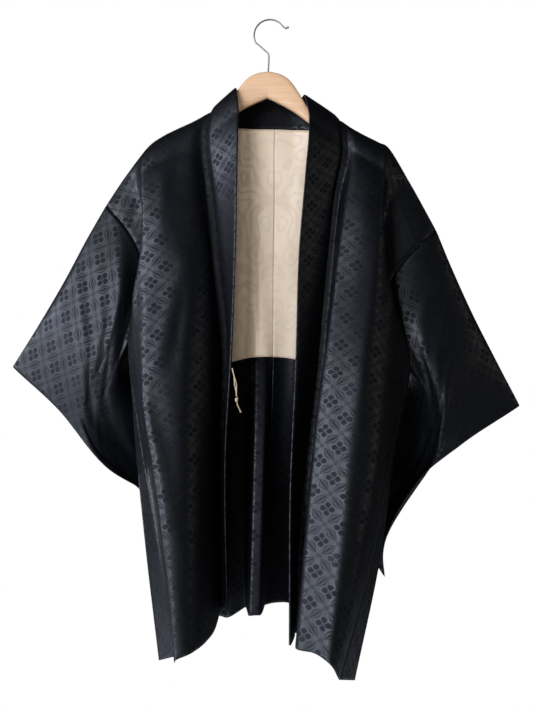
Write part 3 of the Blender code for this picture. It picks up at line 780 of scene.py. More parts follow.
# %% Fine grids
ACROSS_STEPS = 8  # columns from one line to the next


def line_down(row, levels, rows=ROWS):
    """One line of a table as points. Near the top its depth rises like an arch over the hanger."""
    top, hem, places = row
    flat = smooth(levels, places, rows)
    share = np.clip((rows - levels[0]) / (levels[1] - levels[0]), 0, 1)
    arch = places[1][1] * np.sqrt(1 - (1 - share) ** 2)
    if places[0][1] == 0:
        flat[:, 1] = np.where(rows < levels[1], arch, flat[:, 1])
    return np.column_stack([flat, top + (hem - top) * rows]) * MM


def across(lines, steps=ACROSS_STEPS):
    """Smooth rows through lines given as (line, row, xyz), returned as (row, column, xyz)."""
    count = len(lines)
    at = np.linspace(0, count - 1, (count - 1) * steps + 1)
    grid = smooth(np.arange(count), lines.reshape(count, -1), at).reshape(len(at), -1, 3)
    return grid.transpose(1, 0, 2)


def panel(table, levels):
    return across(np.array([line_down(row, levels) for row in table.values()]))


def flat_places(grid, start=0.0, sign=1):
    """Distances across (from the first column) and down (from the first row) on the flat cloth."""
    wide = np.linalg.norm(np.diff(grid, axis=1), axis=2).cumsum(axis=1)
    deep = np.linalg.norm(np.diff(grid, axis=0), axis=2).cumsum(axis=0)
    u = start + np.concatenate([np.zeros((len(grid), 1)), wide], axis=1)
    v = sign * np.concatenate([np.zeros((1, grid.shape[1])), deep])
    return np.dstack([u, v])


print("columns between two lines:", ACROSS_STEPS)

# %% [markdown]
# ## Keeping the weave even
# Cloth bends but hardly stretches. Measured along rows and columns, a curved panel would stretch the
# figures. Blender's own unwrapping could flatten it, but it wouldn't know which way the threads run. So the
# flat places are moved, a little at a time, until each is as far from its neighbours as it is on the cloth.

# %% Even figures
RELAX_STEP = 4
RELAX_ROUNDS = 160


def relaxed(grid, flat):
    """The flat places moved until neighbours are as far apart as on the cloth, so no figure is stretched."""
    rows, columns = (
        np.unique(np.append(np.arange(0, size, RELAX_STEP), size - 1)) for size in flat.shape[:2])
    number = np.arange(len(rows) * len(columns)).reshape(len(rows), len(columns))
    pairs = [(number[:, :-1], number[:, 1:]), (number[:-1], number[1:]),
             (number[:-1, :-1], number[1:, 1:]), (number[:-1, 1:], number[1:, :-1])]
    first, second = (np.concatenate([pair[k].ravel() for pair in pairs]) for k in (0, 1))
    solid = grid[np.ix_(rows, columns)].reshape(-1, 3)
    length = np.linalg.norm(solid[first] - solid[second], axis=1)
    pull = np.zeros((number.size, number.size))
    np.add.at(pull, (first, first), 1)
    np.add.at(pull, (second, second), 1)
    np.add.at(pull, (first, second), -1)
    np.add.at(pull, (second, first), -1)
    pull[0, 0] += 1
    solver = np.linalg.inv(pull)
    places = flat[np.ix_(rows, columns)].reshape(-1, 2)
    held = places[0].copy()
    for _ in range(RELAX_ROUNDS):
        apart = places[first] - places[second]
        apart *= (length / np.maximum(np.linalg.norm(apart, axis=1), 1e-9))[:, None]
        wanted = np.zeros_like(places)
        np.add.at(wanted, first, apart)
        np.add.at(wanted, second, -apart)
        wanted[0] += held
        places = solver @ wanted
    fine = places.reshape(len(rows), len(columns), 2)
    for size, known in zip(flat.shape, (rows, columns)):
        lines = fine.transpose(1, 2, 0)  # each pass fills one direction and swaps the two
        fine = np.array([[np.interp(np.arange(size), known, part) for part in line] for line in lines])
        fine = fine.transpose(0, 2, 1)
    return fine


print("flat places are evened at one row and column in", RELAX_STEP)

# %% [markdown]
# ## Laying the threads straight
# The tailor laid the threads straight down each length. After the figures are evened, the whole flat piece
# is turned until one known line of it runs the right way: the middle of a panel, or the fold of a sleeve.

# %% Threads
FRONT_WARP = (0.09, -1)  # the front's threads lean out a little at the top


def turned_to(flat, start, end, direction):
    """The flat places turned so that the way from start to end has the given direction."""
    way = end - start
    turn = math.atan2(direction[1], direction[0]) - math.atan2(way[1], way[0])
    c, s = math.cos(turn), math.sin(turn)
    return (flat - start) @ np.array([[c, s], [-s, c]])


print("threads of a front run along", FRONT_WARP)

# %% [markdown]
# ## The four panels
# Each half of the body has a front and a back. They are made from the tables as four grids. A haori is cut
# from one narrow roll, about 36 cm wide, so their widths are printed to check them. The left back comes out
# about 2 cm wider than that, as its folds are a little too full.

# %% Panels
left_front, right_front = panel(LEFT_FRONT, FRONT_LEVELS), panel(RIGHT_FRONT, FRONT_LEVELS)
left_back, right_back = panel(LEFT_BACK, BACK_LEVELS), panel(RIGHT_BACK, BACK_LEVELS)
for name, grid in (("left front", left_front), ("right front", right_front), ("left back", left_back)):
    size = flat_places(grid)
    print(name, "%.0f mm wide at the hem, %.0f mm long" % (size[-1, -1, 0] / MM, size[-1, 0, 1] / MM))

# %% [markdown]
# ## Creases
# Hanging silk has soft creases between its main folds: long troughs that start at a point of strain and
# fade out, and a gentle unevenness all over. Each crease is a curve on its panel, given by three places
# (share across, share down), with a depth and a width. Cloth near it moves in or out along its own normal.
# Nothing moves at a seam, so the pieces still meet.

# %% Creases of the body
# (across, down) at the start, the middle and the end as shares of the panel, then depth and half width in
# mm. A depth above nothing is outward.
LEFT_FRONT_CREASES = {
    "pinch below the chest": (0.40, 0.34, 0.42, 0.42, 0.47, 0.50, -2.6, 7),
    "roll beside the pinch": (0.46, 0.33, 0.49, 0.42, 0.54, 0.51, 1.8, 9),
    "pull from the shoulder": (0.95, 0.10, 0.70, 0.20, 0.55, 0.36, -2.0, 12),
    "second pull": (0.90, 0.20, 0.74, 0.30, 0.66, 0.44, 1.5, 10),
    "soft roll at the hip": (0.66, 0.52, 0.58, 0.60, 0.55, 0.70, 2.4, 14),
    "trough at the hip": (0.56, 0.54, 0.50, 0.66, 0.48, 0.80, -2.0, 12),
    "roll by the collar": (0.18, 0.24, 0.22, 0.40, 0.20, 0.58, 1.6, 9),
    "drag at the side": (0.96, 0.46, 0.86, 0.62, 0.84, 0.82, -2.2, 10),
    "hem ripple": (0.36, 0.78, 0.38, 0.90, 0.36, 1.02, 2.0, 13),
    "hem hollow": (0.62, 0.82, 0.64, 0.92, 0.62, 1.02, -1.8, 12),
}
RIGHT_FRONT_CREASES = {
    "long pinch": (0.34, 0.50, 0.33, 0.64, 0.36, 0.78, -2.8, 6),
    "roll beside the pinch": (0.27, 0.48, 0.26, 0.62, 0.28, 0.80, 2.0, 8),
    "second pinch": (0.44, 0.46, 0.43, 0.58, 0.45, 0.68, -1.8, 7),
    "pull from the shoulder": (0.96, 0.08, 0.80, 0.20, 0.66, 0.38, -2.2, 11),
    "second pull": (0.88, 0.16, 0.76, 0.26, 0.70, 0.42, 1.6, 9),
    "roll by the collar": (0.16, 0.10, 0.20, 0.30, 0.19, 0.50, 1.8, 9),
    "fall below the chest": (0.58, 0.28, 0.55, 0.44, 0.58, 0.62, 2.0, 13),
    "drag at the side": (0.95, 0.44, 0.84, 0.60, 0.80, 0.82, -2.4, 10),
    "hem ripple": (0.24, 0.80, 0.22, 0.91, 0.24, 1.02, -1.8, 11),
    "hem roll": (0.66, 0.76, 0.70, 0.90, 0.68, 1.02, 2.2, 14),
}
LEFT_BACK_CREASES = {
    "pull from the shoulder": (0.97, 0.06, 0.80, 0.16, 0.64, 0.30, -2.2, 12),
    "second pull": (0.92, 0.14, 0.78, 0.26, 0.68, 0.42, 1.6, 11),
    "fall below the blade": (0.52, 0.16, 0.50, 0.36, 0.54, 0.58, 2.2, 16),
    "trough beside it": (0.44, 0.22, 0.43, 0.44, 0.46, 0.66, -2.0, 13),
    "roll by the centre": (0.16, 0.20, 0.15, 0.34, 0.17, 0.46, 1.4, 12),
    "sleeve rub": (0.90, 0.50, 0.78, 0.58, 0.66, 0.64, -2.4, 12),
    "low ripple": (0.60, 0.70, 0.61, 0.86, 0.59, 1.02, -1.8, 13),
}
RIGHT_BACK_CREASES = {
    "pull from the shoulder": (0.97, 0.07, 0.82, 0.18, 0.68, 0.34, -2.4, 12),
    "second pull": (0.90, 0.18, 0.78, 0.30, 0.70, 0.46, 1.6, 10),
    "fall below the blade": (0.46, 0.20, 0.45, 0.40, 0.42, 0.60, 2.0, 15),
    "trough beside it": (0.56, 0.26, 0.55, 0.46, 0.52, 0.66, -2.2, 12),
    "roll by the centre": (0.20, 0.30, 0.18, 0.46, 0.19, 0.60, -1.4, 12),
    "sleeve rub": (0.88, 0.52, 0.76, 0.60, 0.64, 0.68, -2.2, 13),
    "low ripple": (0.34, 0.72, 0.35, 0.88, 0.33, 1.02, 2.0, 14),
}
print("creases in the left front:", len(LEFT_FRONT_CREASES))

# %% [markdown]
# ## Creases of the sleeves
# A sleeve hangs from the arm seam, so its creases fan out from there and from the underarm. They could be
# sculpted by hand, but a short table can be read and changed later.

# %% Creases of the sleeves
LEFT_SLEEVE_CREASES = {
    "long roll beside the body": (0.04, 0.12, 0.27, 0.25, 0.20, 0.54, 6.5, 20),
    "hollow beside the roll": (0.30, 0.08, 0.56, 0.24, 0.54, 0.52, -5.0, 18),
    "fall from the arm seam": (0.12, 0.18, 0.30, 0.32, 0.40, 0.50, 2.2, 12),
    "fall from the top": (0.50, 0.06, 0.56, 0.22, 0.60, 0.42, -1.8, 14),
    "strain at the underarm": (0.30, 0.40, 0.36, 0.52, 0.44, 0.62, -1.6, 10),
    "low fold": (0.30, 0.60, 0.46, 0.72, 0.56, 0.86, 2.2, 12),
    "wrist ripple": (0.86, 0.30, 0.84, 0.46, 0.88, 0.62, 1.8, 12),
}
RIGHT_SLEEVE_CREASES = {
    "fall from the arm seam": (0.20, 0.16, 0.30, 0.32, 0.36, 0.50, 1.6, 18),
    "fall from the top": (0.46, 0.08, 0.52, 0.26, 0.50, 0.46, -2.0, 13),
    "low fold": (0.34, 0.58, 0.44, 0.72, 0.50, 0.88, -2.2, 12),
    "wrist ripple": (0.84, 0.28, 0.88, 0.44, 0.84, 0.60, 1.8, 13),
}
BEHIND_SLEEVE_CREASES = {
    "fall from the top": (0.40, 0.08, 0.46, 0.28, 0.42, 0.48, 2.2, 14),
    "trough beside it": (0.62, 0.12, 0.64, 0.32, 0.58, 0.52, -2.2, 13),
    "bend at the underarm": (0.10, 0.48, 0.36, 0.56, 0.66, 0.60, -2.4, 12),
    "low fall": (0.40, 0.62, 0.44, 0.76, 0.40, 0.90, 2.0, 12),
}
print("creases in the left sleeve:", len(LEFT_SLEEVE_CREASES))

# %% [markdown]
# ## Which way is out, and how uneven cloth is
# A crease moves the cloth along its normal, so the outer side has to be known. Between the creases silk is
# never quite flat either. A smooth noise gives that unevenness, which no table could.

# %% Crease helpers
UNEVEN = 0.0011


def softened(share):
    share = np.clip(share, 0, 1)
    return share * share * (3 - 2 * share)


def outward(grid, away):
    """Normals of a grid, on the side that the direction away points to."""
    normal = np.cross(np.gradient(grid, axis=1), np.gradient(grid, axis=0))
    normal /= np.maximum(np.linalg.norm(normal, axis=2, keepdims=True), 1e-12)
    return normal * np.sign((normal * away).sum())


def unevenness(flat, seed):
    """Long soft waves down the cloth with smaller ones on them."""
    waves = np.empty(flat.shape[:2])
    for i, row in enumerate(flat):
        for j, (u, v) in enumerate(row):
            wide = noise.noise(Vector((u * 15, v * 5.5, seed)))
            small = noise.noise(Vector((u * 42, v * 17, seed + 9)))
            waves[i, j] = wide + 0.4 * small
    return waves * UNEVEN


print("waves up to about %.1f mm" % (UNEVEN / MM))

# %% [markdown]
# ## Pressing the creases in
# A crease is deepest along its curve and fades to both sides and at its ends. At the side edges and over
# the hanger nothing moves. Outward is to the front for the fronts and to the back for the backs, so a depth
# means the same on each.

# %% Creased panels
CREASE_POINTS = 28
SEAM_FADE, TOP_FADE = 0.016, 0.03


def creased(grid, creases, away, seed):
    """The grid with its creases, held still along its two side edges and over the hanger."""
    flat = flat_places(grid)
    wide, deep = flat[:, -1, 0].mean(), flat[-1, :, 1].mean()
    columns = np.linspace(0, 1, grid.shape[1])[None, :]
    levels = flat[:, :, 1] / deep
    at = np.dstack([np.broadcast_to(columns * wide, levels.shape), levels * deep])
    move = unevenness(flat, seed)
    t = np.linspace(0, 1, CREASE_POINTS)[:, None]
    for *places, depth, half in creases.values():
        first, middle, last = np.reshape(places, (3, 2)) * (wide, deep)
        curve = first * (1 - t) ** 2 + middle * 2 * t * (1 - t) + last * t**2
        away_from = np.linalg.norm(at[:, :, None] - curve, axis=3)
        nearest = away_from.argmin(axis=2)
        taper = np.sin(np.pi * np.clip(nearest / (CREASE_POINTS - 1) * 0.94 + 0.03, 0, 1)) ** 0.7
        move += depth * MM * taper * np.exp(-((away_from.min(axis=2) / (half * MM)) ** 2))
    edge = np.minimum(columns, 1 - columns) * wide / SEAM_FADE
    move *= softened(edge) * softened(flat[:, :, 1] / TOP_FADE)
    return grid + outward(grid, away) * move[:, :, None]


TO_FRONT, TO_BACK = np.array((0, -1, 0)), np.array((0, 1, 0))
left_front = creased(left_front, LEFT_FRONT_CREASES, TO_FRONT, 3)
right_front = creased(right_front, RIGHT_FRONT_CREASES, TO_FRONT, 17)
left_back = creased(left_back, LEFT_BACK_CREASES, TO_BACK, 31)
right_back = creased(right_back, RIGHT_BACK_CREASES, TO_BACK, 47)
print("creases on the body:", sum(len(t) for t in (
    LEFT_FRONT_CREASES, RIGHT_FRONT_CREASES, LEFT_BACK_CREASES, RIGHT_BACK_CREASES)))

# %% [markdown]
# ## Sewing a sheet and giving it a thickness
# A piece of cloth is first a sheet with no thickness: a grid whose repeated points are made one. Merging by
# distance would do the same in the editor, but it could also close a narrow gap. Later each sheet becomes a
# closed wall. Its rim is drawn in a little and its face sinks towards the seam, which leaves the shallow
# groove that a sewn seam has.

# %% Sheets
CLOTH = 0.0011
LINING = 0.0008


def sheet_of(grid, flat, keep=None):
    """Points, quads and each quad's four places on the flat cloth, with repeated points joined."""
    rows, columns = grid.shape[:2]
    i, j = np.meshgrid(np.arange(rows - 1), np.arange(columns - 1), indexing="ij")
    a = (i * columns + j).ravel()
    if keep is not None:
        a = a[keep(i, j).ravel()]
    quads = np.column_stack([a, a + 1, a + columns + 1, a + columns])
    used = np.unique(quads)
    points = grid.reshape(-1, 3)
    _, first, index = np.unique(np.round(points[used], 7), axis=0, return_index=True, return_inverse=True)
    lookup = np.full(len(points), -1)
    lookup[used] = index.reshape(-1)
    joined = lookup[quads]
    whole = np.array([len(set(quad)) == 4 for quad in joined])
    return points[used][first], joined[whole], flat.reshape(-1, 2)[quads[whole]]


print("cloth %.1f mm thick, lining %.1f mm" % (CLOTH / MM, LINING / MM))

# %% [markdown]
# ## Which side is out
# Every quad has a front, and the fronts of a sheet have to look away from the body. Normals are shared by
# all the sheets that are sewn to each other, so they turn smoothly through a seam.

# %% Normals
TURNED = [0, 3, 2, 1]


def face_normals(points, quads):
    normals = np.cross(points[quads[:, 2]] - points[quads[:, 0]], points[quads[:, 3]] - points[quads[:, 1]])
    return normals / np.maximum(np.linalg.norm(normals, axis=1, keepdims=True), 1e-12)


def faced_out(sheet, middle):
    """The sheet with its front on the side away from the middle."""
    points, quads, flat = sheet
    away = points[quads].mean(axis=1) - middle
    if (face_normals(points, quads) * away).sum() > 0:
        return sheet
    return points, quads[:, TURNED], flat[:, TURNED]


def key_of(point):
    return tuple(np.round(point, 6))


def shared_normals(sheets):
    """Normals of all the sheets together, one array for each."""
    total = {}
    for points, quads, _ in sheets.values():
        at_point = np.zeros_like(points)
        for corner in range(4):
            np.add.at(at_point, quads[:, corner], face_normals(points, quads))
        for point, normal in zip(points, at_point):
            key = key_of(point)
            total[key] = total.get(key, 0) + normal
    found = {}
    for name, (points, _, _) in sheets.items():
        normals = np.array([total[key_of(point)] for point in points])
        found[name] = normals / np.linalg.norm(normals, axis=1, keepdims=True)
    return found


print("normals are shared where points agree to a thousandth of a millimetre")

# %% [markdown]
# ## Walls
# A rendered sheet needs an edge with some thickness, or it looks like paper. The Solidify modifier would
# give it one thickness all over. Here the wall is thicker at the facing and thinner at its seams, so it is
# built by hand. The rim is where a quad has no neighbour, and a strip there joins the outer face to the
# inner one.

# %% Walls
SEWN_GAP = 0.0001


def rim_edges(quads):
    """Edges with a quad on one side only, as (start, end, quad, corner)."""
    seen = {(quad[k], quad[(k + 1) % 4]) for quad in quads.tolist() for k in range(4)}
    return [
        (quad[k], quad[(k + 1) % 4], number, k)
        for number, quad in enumerate(quads.tolist()) for k in range(4)
        if (quad[(k + 1) % 4], quad[k]) not in seen
    ]


def wall_of(name, sheet, normals, material, outer, inner):
    """A closed wall round the sheet: outer and inner are its two distances from it."""
    points, quads, flat = sheet
    rim = rim_edges(quads)
    inward = np.zeros_like(points)
    for a, b, _, _ in rim:
        direction = np.cross(normals[a], points[b] - points[a])
        direction /= max(np.linalg.norm(direction), 1e-9)
        inward[a] += direction
        inward[b] += direction
    length = np.linalg.norm(inward, axis=1, keepdims=True)
    at_rim = length[:, 0] > 0
    points = points + SEWN_GAP / 2 * np.divide(inward, length, out=np.zeros_like(inward), where=length > 0.2)
    top = np.where(at_rim, outer * 0.35, outer)[:, None]
    count = len(points)
    under = quads[:, TURNED] + count
    faces = quads.tolist() + under.tolist() + [(b, a, a + count, b + count) for a, b, _, _ in rim]
    strips = np.array([flat[number][[(k + 1) % 4, k, k, (k + 1) % 4]] for _, _, number, k in rim])
    places = np.concatenate([flat, flat[:, TURNED], strips])
    vertices = np.concatenate([points + normals * top, points - normals * np.reshape(inner, (-1, 1))])
    return link(name, vertices, faces, material, places)


def area_of(piece):
    """Half the area of a closed wall, which is the cloth's own area."""
    return sum(face.area for face in piece.data.polygons) / 2


print("wall helpers ready")

# %% [markdown]
# ## Cutting the pieces
# A haori's body is two lengths of cloth. Each goes up the front, over the shoulder and down the back. A
# sleeve is one length folded at its top, with the wrist and the lower inner edge left open. A narrow wedge,
# the gusset, joins front and back below a short opening at the side.


# %% Body
def body_sheet(front, back):
    """One length from the front hem up and down to the back hem, with the neck cut out."""
    spare = back.shape[1] - front.shape[1]
    back_flat, front_flat = relaxed(back, flat_places(back)), relaxed(front, flat_places(front, sign=-1))
    waist, middle = row_at(WAIST), front.shape[1] // 2
    back_flat = turned_to(back_flat, back_flat[waist, middle], back_flat[-1, middle], (0, 1))
    front_flat = turned_to(front_flat, front_flat[waist, middle], front_flat[-1, middle], FRONT_WARP)
    wide = np.concatenate([back[:, :spare], front], axis=1)
    wide_flat = np.concatenate([back_flat[:, :spare], front_flat], axis=1)
    grid = np.concatenate([wide[::-1], back[1:]])
    flat = np.concatenate([wide_flat[::-1], back_flat[1:]])
    neck_row = len(ROWS) - 1 + row_at(NECK)
    return sheet_of(grid, flat, lambda i, j: (j >= spare) | (i >= neck_row))


print("neck starts at row", row_at(NECK))

# %% [markdown]
# ## The sleeves
# The top of a sleeve follows its arm seam exactly. Below the underarm it hangs free of the body, and its
# two layers come together at the bottom. Front and back are made as two grids and then joined into one
# tube, because each layer has folds of its own.

# %% One layer of a sleeve
SEAM_ROWS = row_at(UNDERARM) + 1
SLEEVE_ROWS = np.concatenate([ROWS[:SEAM_ROWS] / UNDERARM, np.linspace(1, 2, 64)[1:]])
SLEEVE_STEPS = 13


def sleeve_side(seam, table, free_edge, back, creases, seed):
    """One layer of a sleeve, from its arm seam to the wrist."""
    free_at = SLEEVE_ROWS[SEAM_ROWS - 1:]
    edge = np.array(free_edge, float)
    if back:
        edge[:, 1] += FREE_EDGE_DEPTH
    edge = np.concatenate([[seam[SEAM_ROWS - 1] / MM], edge]) * MM
    lines = [np.concatenate([seam[:SEAM_ROWS - 1], smooth(FREE_EDGE_LEVELS, edge, free_at)])]
    for k in range(4):
        places = np.array([table[level][k] for level in SLEEVE_LEVELS], float)
        if back:
            places[1:, 1] += [SLEEVE_DEPTH[level][k] for level in SLEEVE_LEVELS[1:]]
        line = smooth((0, 0.5, 1, 1.5, 2), places * MM, SLEEVE_ROWS)
        near_fold = np.clip(SLEEVE_ROWS / 0.5, 0, 1)
        depth = places[1, 1] * MM * np.sqrt(1 - (1 - near_fold) ** 2)
        line[:, 1] = np.where(SLEEVE_ROWS < 0.5, depth, line[:, 1])
        lines.append(line)
    return creased(across(np.array(lines), SLEEVE_STEPS), creases, TO_BACK if back else TO_FRONT, seed)


print("sleeve rows:", len(SLEEVE_ROWS))

# %% [markdown]
# ## The sleeve as one tube
# Front and back are joined into one tube that turns round the bottom, with both ends open. A sleeve is one
# length folded at its top, so the damask runs on over that fold. At the bottom two ends are sewn together,
# and there it needn't meet.

# %% Sleeves
BOTTOM_TURN = 3
BOTTOM_CLOTH = 0.006  # cloth in the turn between the two layers


def sleeve_flat(side, sign):
    flat = relaxed(side, flat_places(side, sign=sign))
    return turned_to(flat, flat[0, 0], flat[0, -1], (1, 0))


def sleeve_sheet(body, table, free_edge, creases, seeds):
    """A tube: down the front, round the bottom and up the back, with both ends open."""
    front, back = (
        sleeve_side(panel_grid[:, -1], table, free_edge, behind, own, seed)
        for panel_grid, behind, own, seed in zip(body, (False, True), (creases, BEHIND_SLEEVE_CREASES), seeds)
    )
    front_flat, back_flat = sleeve_flat(front, 1), sleeve_flat(back, -1)
    turn = np.linspace(0, 1, BOTTOM_TURN)[:, None, None]
    bottom = front[-1] * (1 - turn) + back[-1] * turn
    bottom_flat = front_flat[-1] * (1 - turn) + (front_flat[-1] + (0, BOTTOM_CLOTH)) * turn
    loop = np.concatenate([front[:-1], bottom, back[::-1]])
    return sheet_of(loop, np.concatenate([front_flat[:-1], bottom_flat, back_flat[::-1]]))


print("rows round the bottom of a sleeve:", BOTTOM_TURN)

# %% [markdown]
# ## Gussets, and all the pieces sewn
# The gusset fills the side from front to back. Then all the sheets are made, faced outward and given their
# thickness. At the back the hem is turned up inside as a facing, so the wall is thicker there.

# %% All the pieces
FACING = 0.0012


def gusset_sheet(front, back):
    """The wedge between the front's side seam and the back's."""
    first = row_at(GUSSET_TOP)
    share = np.linspace(0, 1, 9)[None, :, None]
    grid = front[first:, -1:] * (1 - share) + back[first:, -1:] * share
    return sheet_of(grid, flat_places(grid))


left, right = (left_front, left_back), (right_front, right_back)
sheets = {
    "body_left": body_sheet(*left),
    "body_right": body_sheet(*right),
    "sleeve_left": sleeve_sheet(left, LEFT_SLEEVE, LEFT_FREE_EDGE, LEFT_SLEEVE_CREASES, (61, 71)),
    "sleeve_right": sleeve_sheet(right, RIGHT_SLEEVE, RIGHT_FREE_EDGE, RIGHT_SLEEVE_CREASES, (83, 97)),
    "gusset_left": gusset_sheet(*left),
    "gusset_right": gusset_sheet(*right),
}
middles = {name: sheet[0].mean(axis=0) for name, sheet in sheets.items()}
middles["gusset_left"], middles["gusset_right"] = middles["body_left"], middles["body_right"]
sheets = {name: faced_out(sheet, middles[name]) for name, sheet in sheets.items()}
normals = shared_normals(sheets)
facing_row = row_at(FACING_TOP)
turned_up = {key_of(point) for back in (left_back, right_back) for point in back[facing_row:].reshape(-1, 3)}
shells = {}
for name, sheet in sheets.items():
    doubled = np.array([name.startswith("body") and key_of(point) in turned_up for point in sheet[0]])
    inner = CLOTH / 2 + FACING * doubled
    shells[name] = wall_of("silk_" + name, sheet, normals[name], silk, CLOTH / 2, inner)
    print(name, "%.3f m2 of cloth, %d faces" % (area_of(shells[name]), len(shells[name].data.polygons)))

# %% [markdown]
# ## The lining
# Only the back of the neck and the upper back show the lining. Two sheets draped apart could cut through
# each other. So it is the back's own surface moved in by the cloth and a small gap: it follows every fold
# behind it, and it ends at the turned-up facing.

# %% Lining
SEAM_GAP = 0.0003  # as in the solids
SOLID_CLOTH = 0.0014


def lining_sheet(back, body, out):
    first, last = row_at(NECK), row_at(WAIST)
    side = back.shape[1] - 3 * ACROSS_STEPS
    grid = back[first:last + 1, :side]
    points, quads, flat = sheet_of(grid, flat_places(grid))
    known = {key_of(point): normal for point, normal in zip(body, out)}
    normal = np.array([known[key_of(point)] for point in points])
    if (face_normals(points, quads) * normal[quads[:, 0]]).sum() < 0:
        quads, flat = quads[:, TURNED], flat[:, TURNED]
    return (points - normal * (SOLID_CLOTH / 2 + SEAM_GAP + LINING / 2), quads, flat), normal


for side, back in (("left", left_back), ("right", right_back)):
    sheet, out = lining_sheet(back, sheets["body_" + side][0], normals["body_" + side])
    name = "lining_" + side
    shells[name] = wall_of("silk_" + name, sheet, out, cream, LINING / 2, np.full(len(out), LINING / 2))
    print(name, "%.3f m2" % area_of(shells[name]))

# %% [markdown]
# ## The collar
# The collar is one long strip that is sewn along both fronts and round the neck. It stands up from its
# seam, folds over at the edge nearest the neck and comes back down outside, so it is made as a strip in two
# halves with a small round turn between them.

# %% Collar
# Shares of the way from the seam to the fold edge. The turn between the two halves starts at the last one.
INSIDE_SHARES = (0, 0.12, 0.25, 0.4, 0.55, 0.7, 0.84, 0.94)
BEND = INSIDE_SHARES[-1]
ROUND = 0.06  # how far past that the turn reaches
FOLD_RUN = 0.012  # how far down the fronts the fold's curve round the neck takes its direction from
OUTSIDE_SHARES = (0.94, 0.84, 0.7, 0.55, 0.4, 0.25, 0.12, -0.025)


def collar_sheet():
    """The strip from the left hem round the neck to the right hem."""
    neck = row_at(NECK)
    left_point, right_point = (back.shape[1] - front.shape[1] for back, front in (
        (left_back, left_front), (right_back, right_front)))
    round_neck = np.concatenate([left_back[neck, left_point::-1], right_back[neck, 1:right_point + 1]])
    left_top, right_top = left_back[1:neck, left_point], right_back[neck - 1:0:-1, right_point]
    seam = np.concatenate([left_front[::-1, 0], left_top, round_neck, right_top, right_front[:, 0]])
    left_fold = line_down(LEFT_FOLD, FRONT_LEVELS)[::-1]
    right_fold = line_down(RIGHT_FOLD, FRONT_LEVELS)
    before = row_at(FOLD_RUN)
    round_back = np.array(NECK_FOLD) * MM
    through = np.concatenate([left_fold[[-1 - before, -1]], round_back, right_fold[[0, before]]])
    turns = len(seam) - 2 * len(ROWS)
    round_fold = flowing(through, np.linspace(1, len(through) - 2, turns + 2)[1:-1])
    fold = np.concatenate([left_fold, round_fold, right_fold])
    ahead = np.gradient(fold, axis=0)
    rise = fold - seam
    length = np.linalg.norm(rise, axis=1, keepdims=True)
    out = np.cross(rise, ahead)
    out /= np.linalg.norm(out, axis=1, keepdims=True)
    start = SEAM_GAP / length
    inner = [seam + rise * (start + (BEND - start) * share / BEND) for share in INSIDE_SHARES]
    lift = {share: COLLAR_OPENING * min(1, 0.75 + 0.5 * (BEND - share), max(0.42, 0.35 + 5 * share))
            for share in OUTSIDE_SHARES}
    outer = [seam + rise * share + out * lift[share] for share in OUTSIDE_SHARES]
    turn = [seam + rise * (BEND + ROUND * math.sin(t)) + out * COLLAR_OPENING * 0.375 * (1 - math.cos(t))
            for t in np.linspace(0, math.pi, 7)[1:-1]]
    return np.stack(inner + turn + outer, axis=1)


collar_grid = collar_sheet()
collar_flat = flat_places(collar_grid)
collar_strip = sheet_of(collar_grid, collar_flat)
collar_normals = shared_normals({"collar": collar_strip})["collar"]
shells["collar"] = wall_of("silk_collar", collar_strip, collar_normals, silk, CLOTH / 2,
                           np.full(len(collar_normals), CLOTH / 2))
print("collar %.3f m2, %.0f mm wide when flat" % (area_of(shells["collar"]), collar_flat[40, -1, 0] / MM))

# %% [markdown]
# ## The hanger
# A hanger like this is sawn from a board and its edges are rounded, so each section is a soft-cornered
# oval. A bent box with a bevel would keep one section all along. These arms are lofted through several
# sections instead, because they get thinner and rounder towards the tips.

# %% Hanger
TILT = math.radians(1.25)
HANGER_MIDDLE = np.array((-3, 0, -90)) * MM
# distance from the middle, top, bottom, half thickness, in mm
HANGER_ARM = {
    "middle": (0, 0, -47, 7.0),
    "saddle": (20, -4, -56, 7.0),
    "hump": (36, -13, -64, 7.0),
    "neck": (48, -27, -71, 6.8),
    "collar": (60, -45, -79, 6.6),
    "under the collar": (76, -66, -90, 6.4),
    "shoulder": (118, -88, -112, 6.2),
    "mid arm": (168, -115.5, -135, 5.8),
    "outer arm": (192, -128, -144, 5.4),
    "near tip": (202, -136, -149, 4.6),
    "tip": (207, -141, -148, 3.0),
}
SECTION_SIDES = 40
SECTION_SQUARE = 0.62


def tilted(points):
    """Turned about the middle of the hanger, so that the right arm hangs lower."""
    x, y, z = np.asarray(points).T
    c, s = math.cos(TILT), math.sin(TILT)
    return np.column_stack([x * c + z * s, y, z * c - x * s]) + HANGER_MIDDLE


def hanger_arms():
    rows = np.array(list(HANGER_ARM.values()), float) * MM
    steps = np.linspace(0, len(rows) - 1, 10 * len(rows))
    half = smooth(np.arange(len(rows)), rows, steps)
    stations = np.concatenate([half[:0:-1] * (-1, 1, 1, 1), half])
    turn = np.linspace(0, 2 * np.pi, SECTION_SIDES, endpoint=False) + np.pi / 2
    c, s = np.cos(turn), np.sin(turn)
    wide, tall = np.sign(c) * abs(c) ** SECTION_SQUARE, np.sign(s) * abs(s) ** SECTION_SQUARE
    rings = [
        np.column_stack([np.full(SECTION_SIDES, x), thick * wide, (top + low) / 2 + (top - low) / 2 * tall])
        for x, top, low, thick in stations
    ]
    return tilted(np.concatenate(rings)), tube_faces(len(rings), SECTION_SIDES)


wooden_arms = link("wooden_arms", *hanger_arms(), wood)
print("hanger %.0f mm wide" % (wooden_arms.dimensions.x / MM))

# %% [markdown]
# ## The hook
# The hook is one wire, bent round a former and set in the wood, so it is swept along one path. Its cut end
# is rounded into a small ball, which keeps it from scratching.

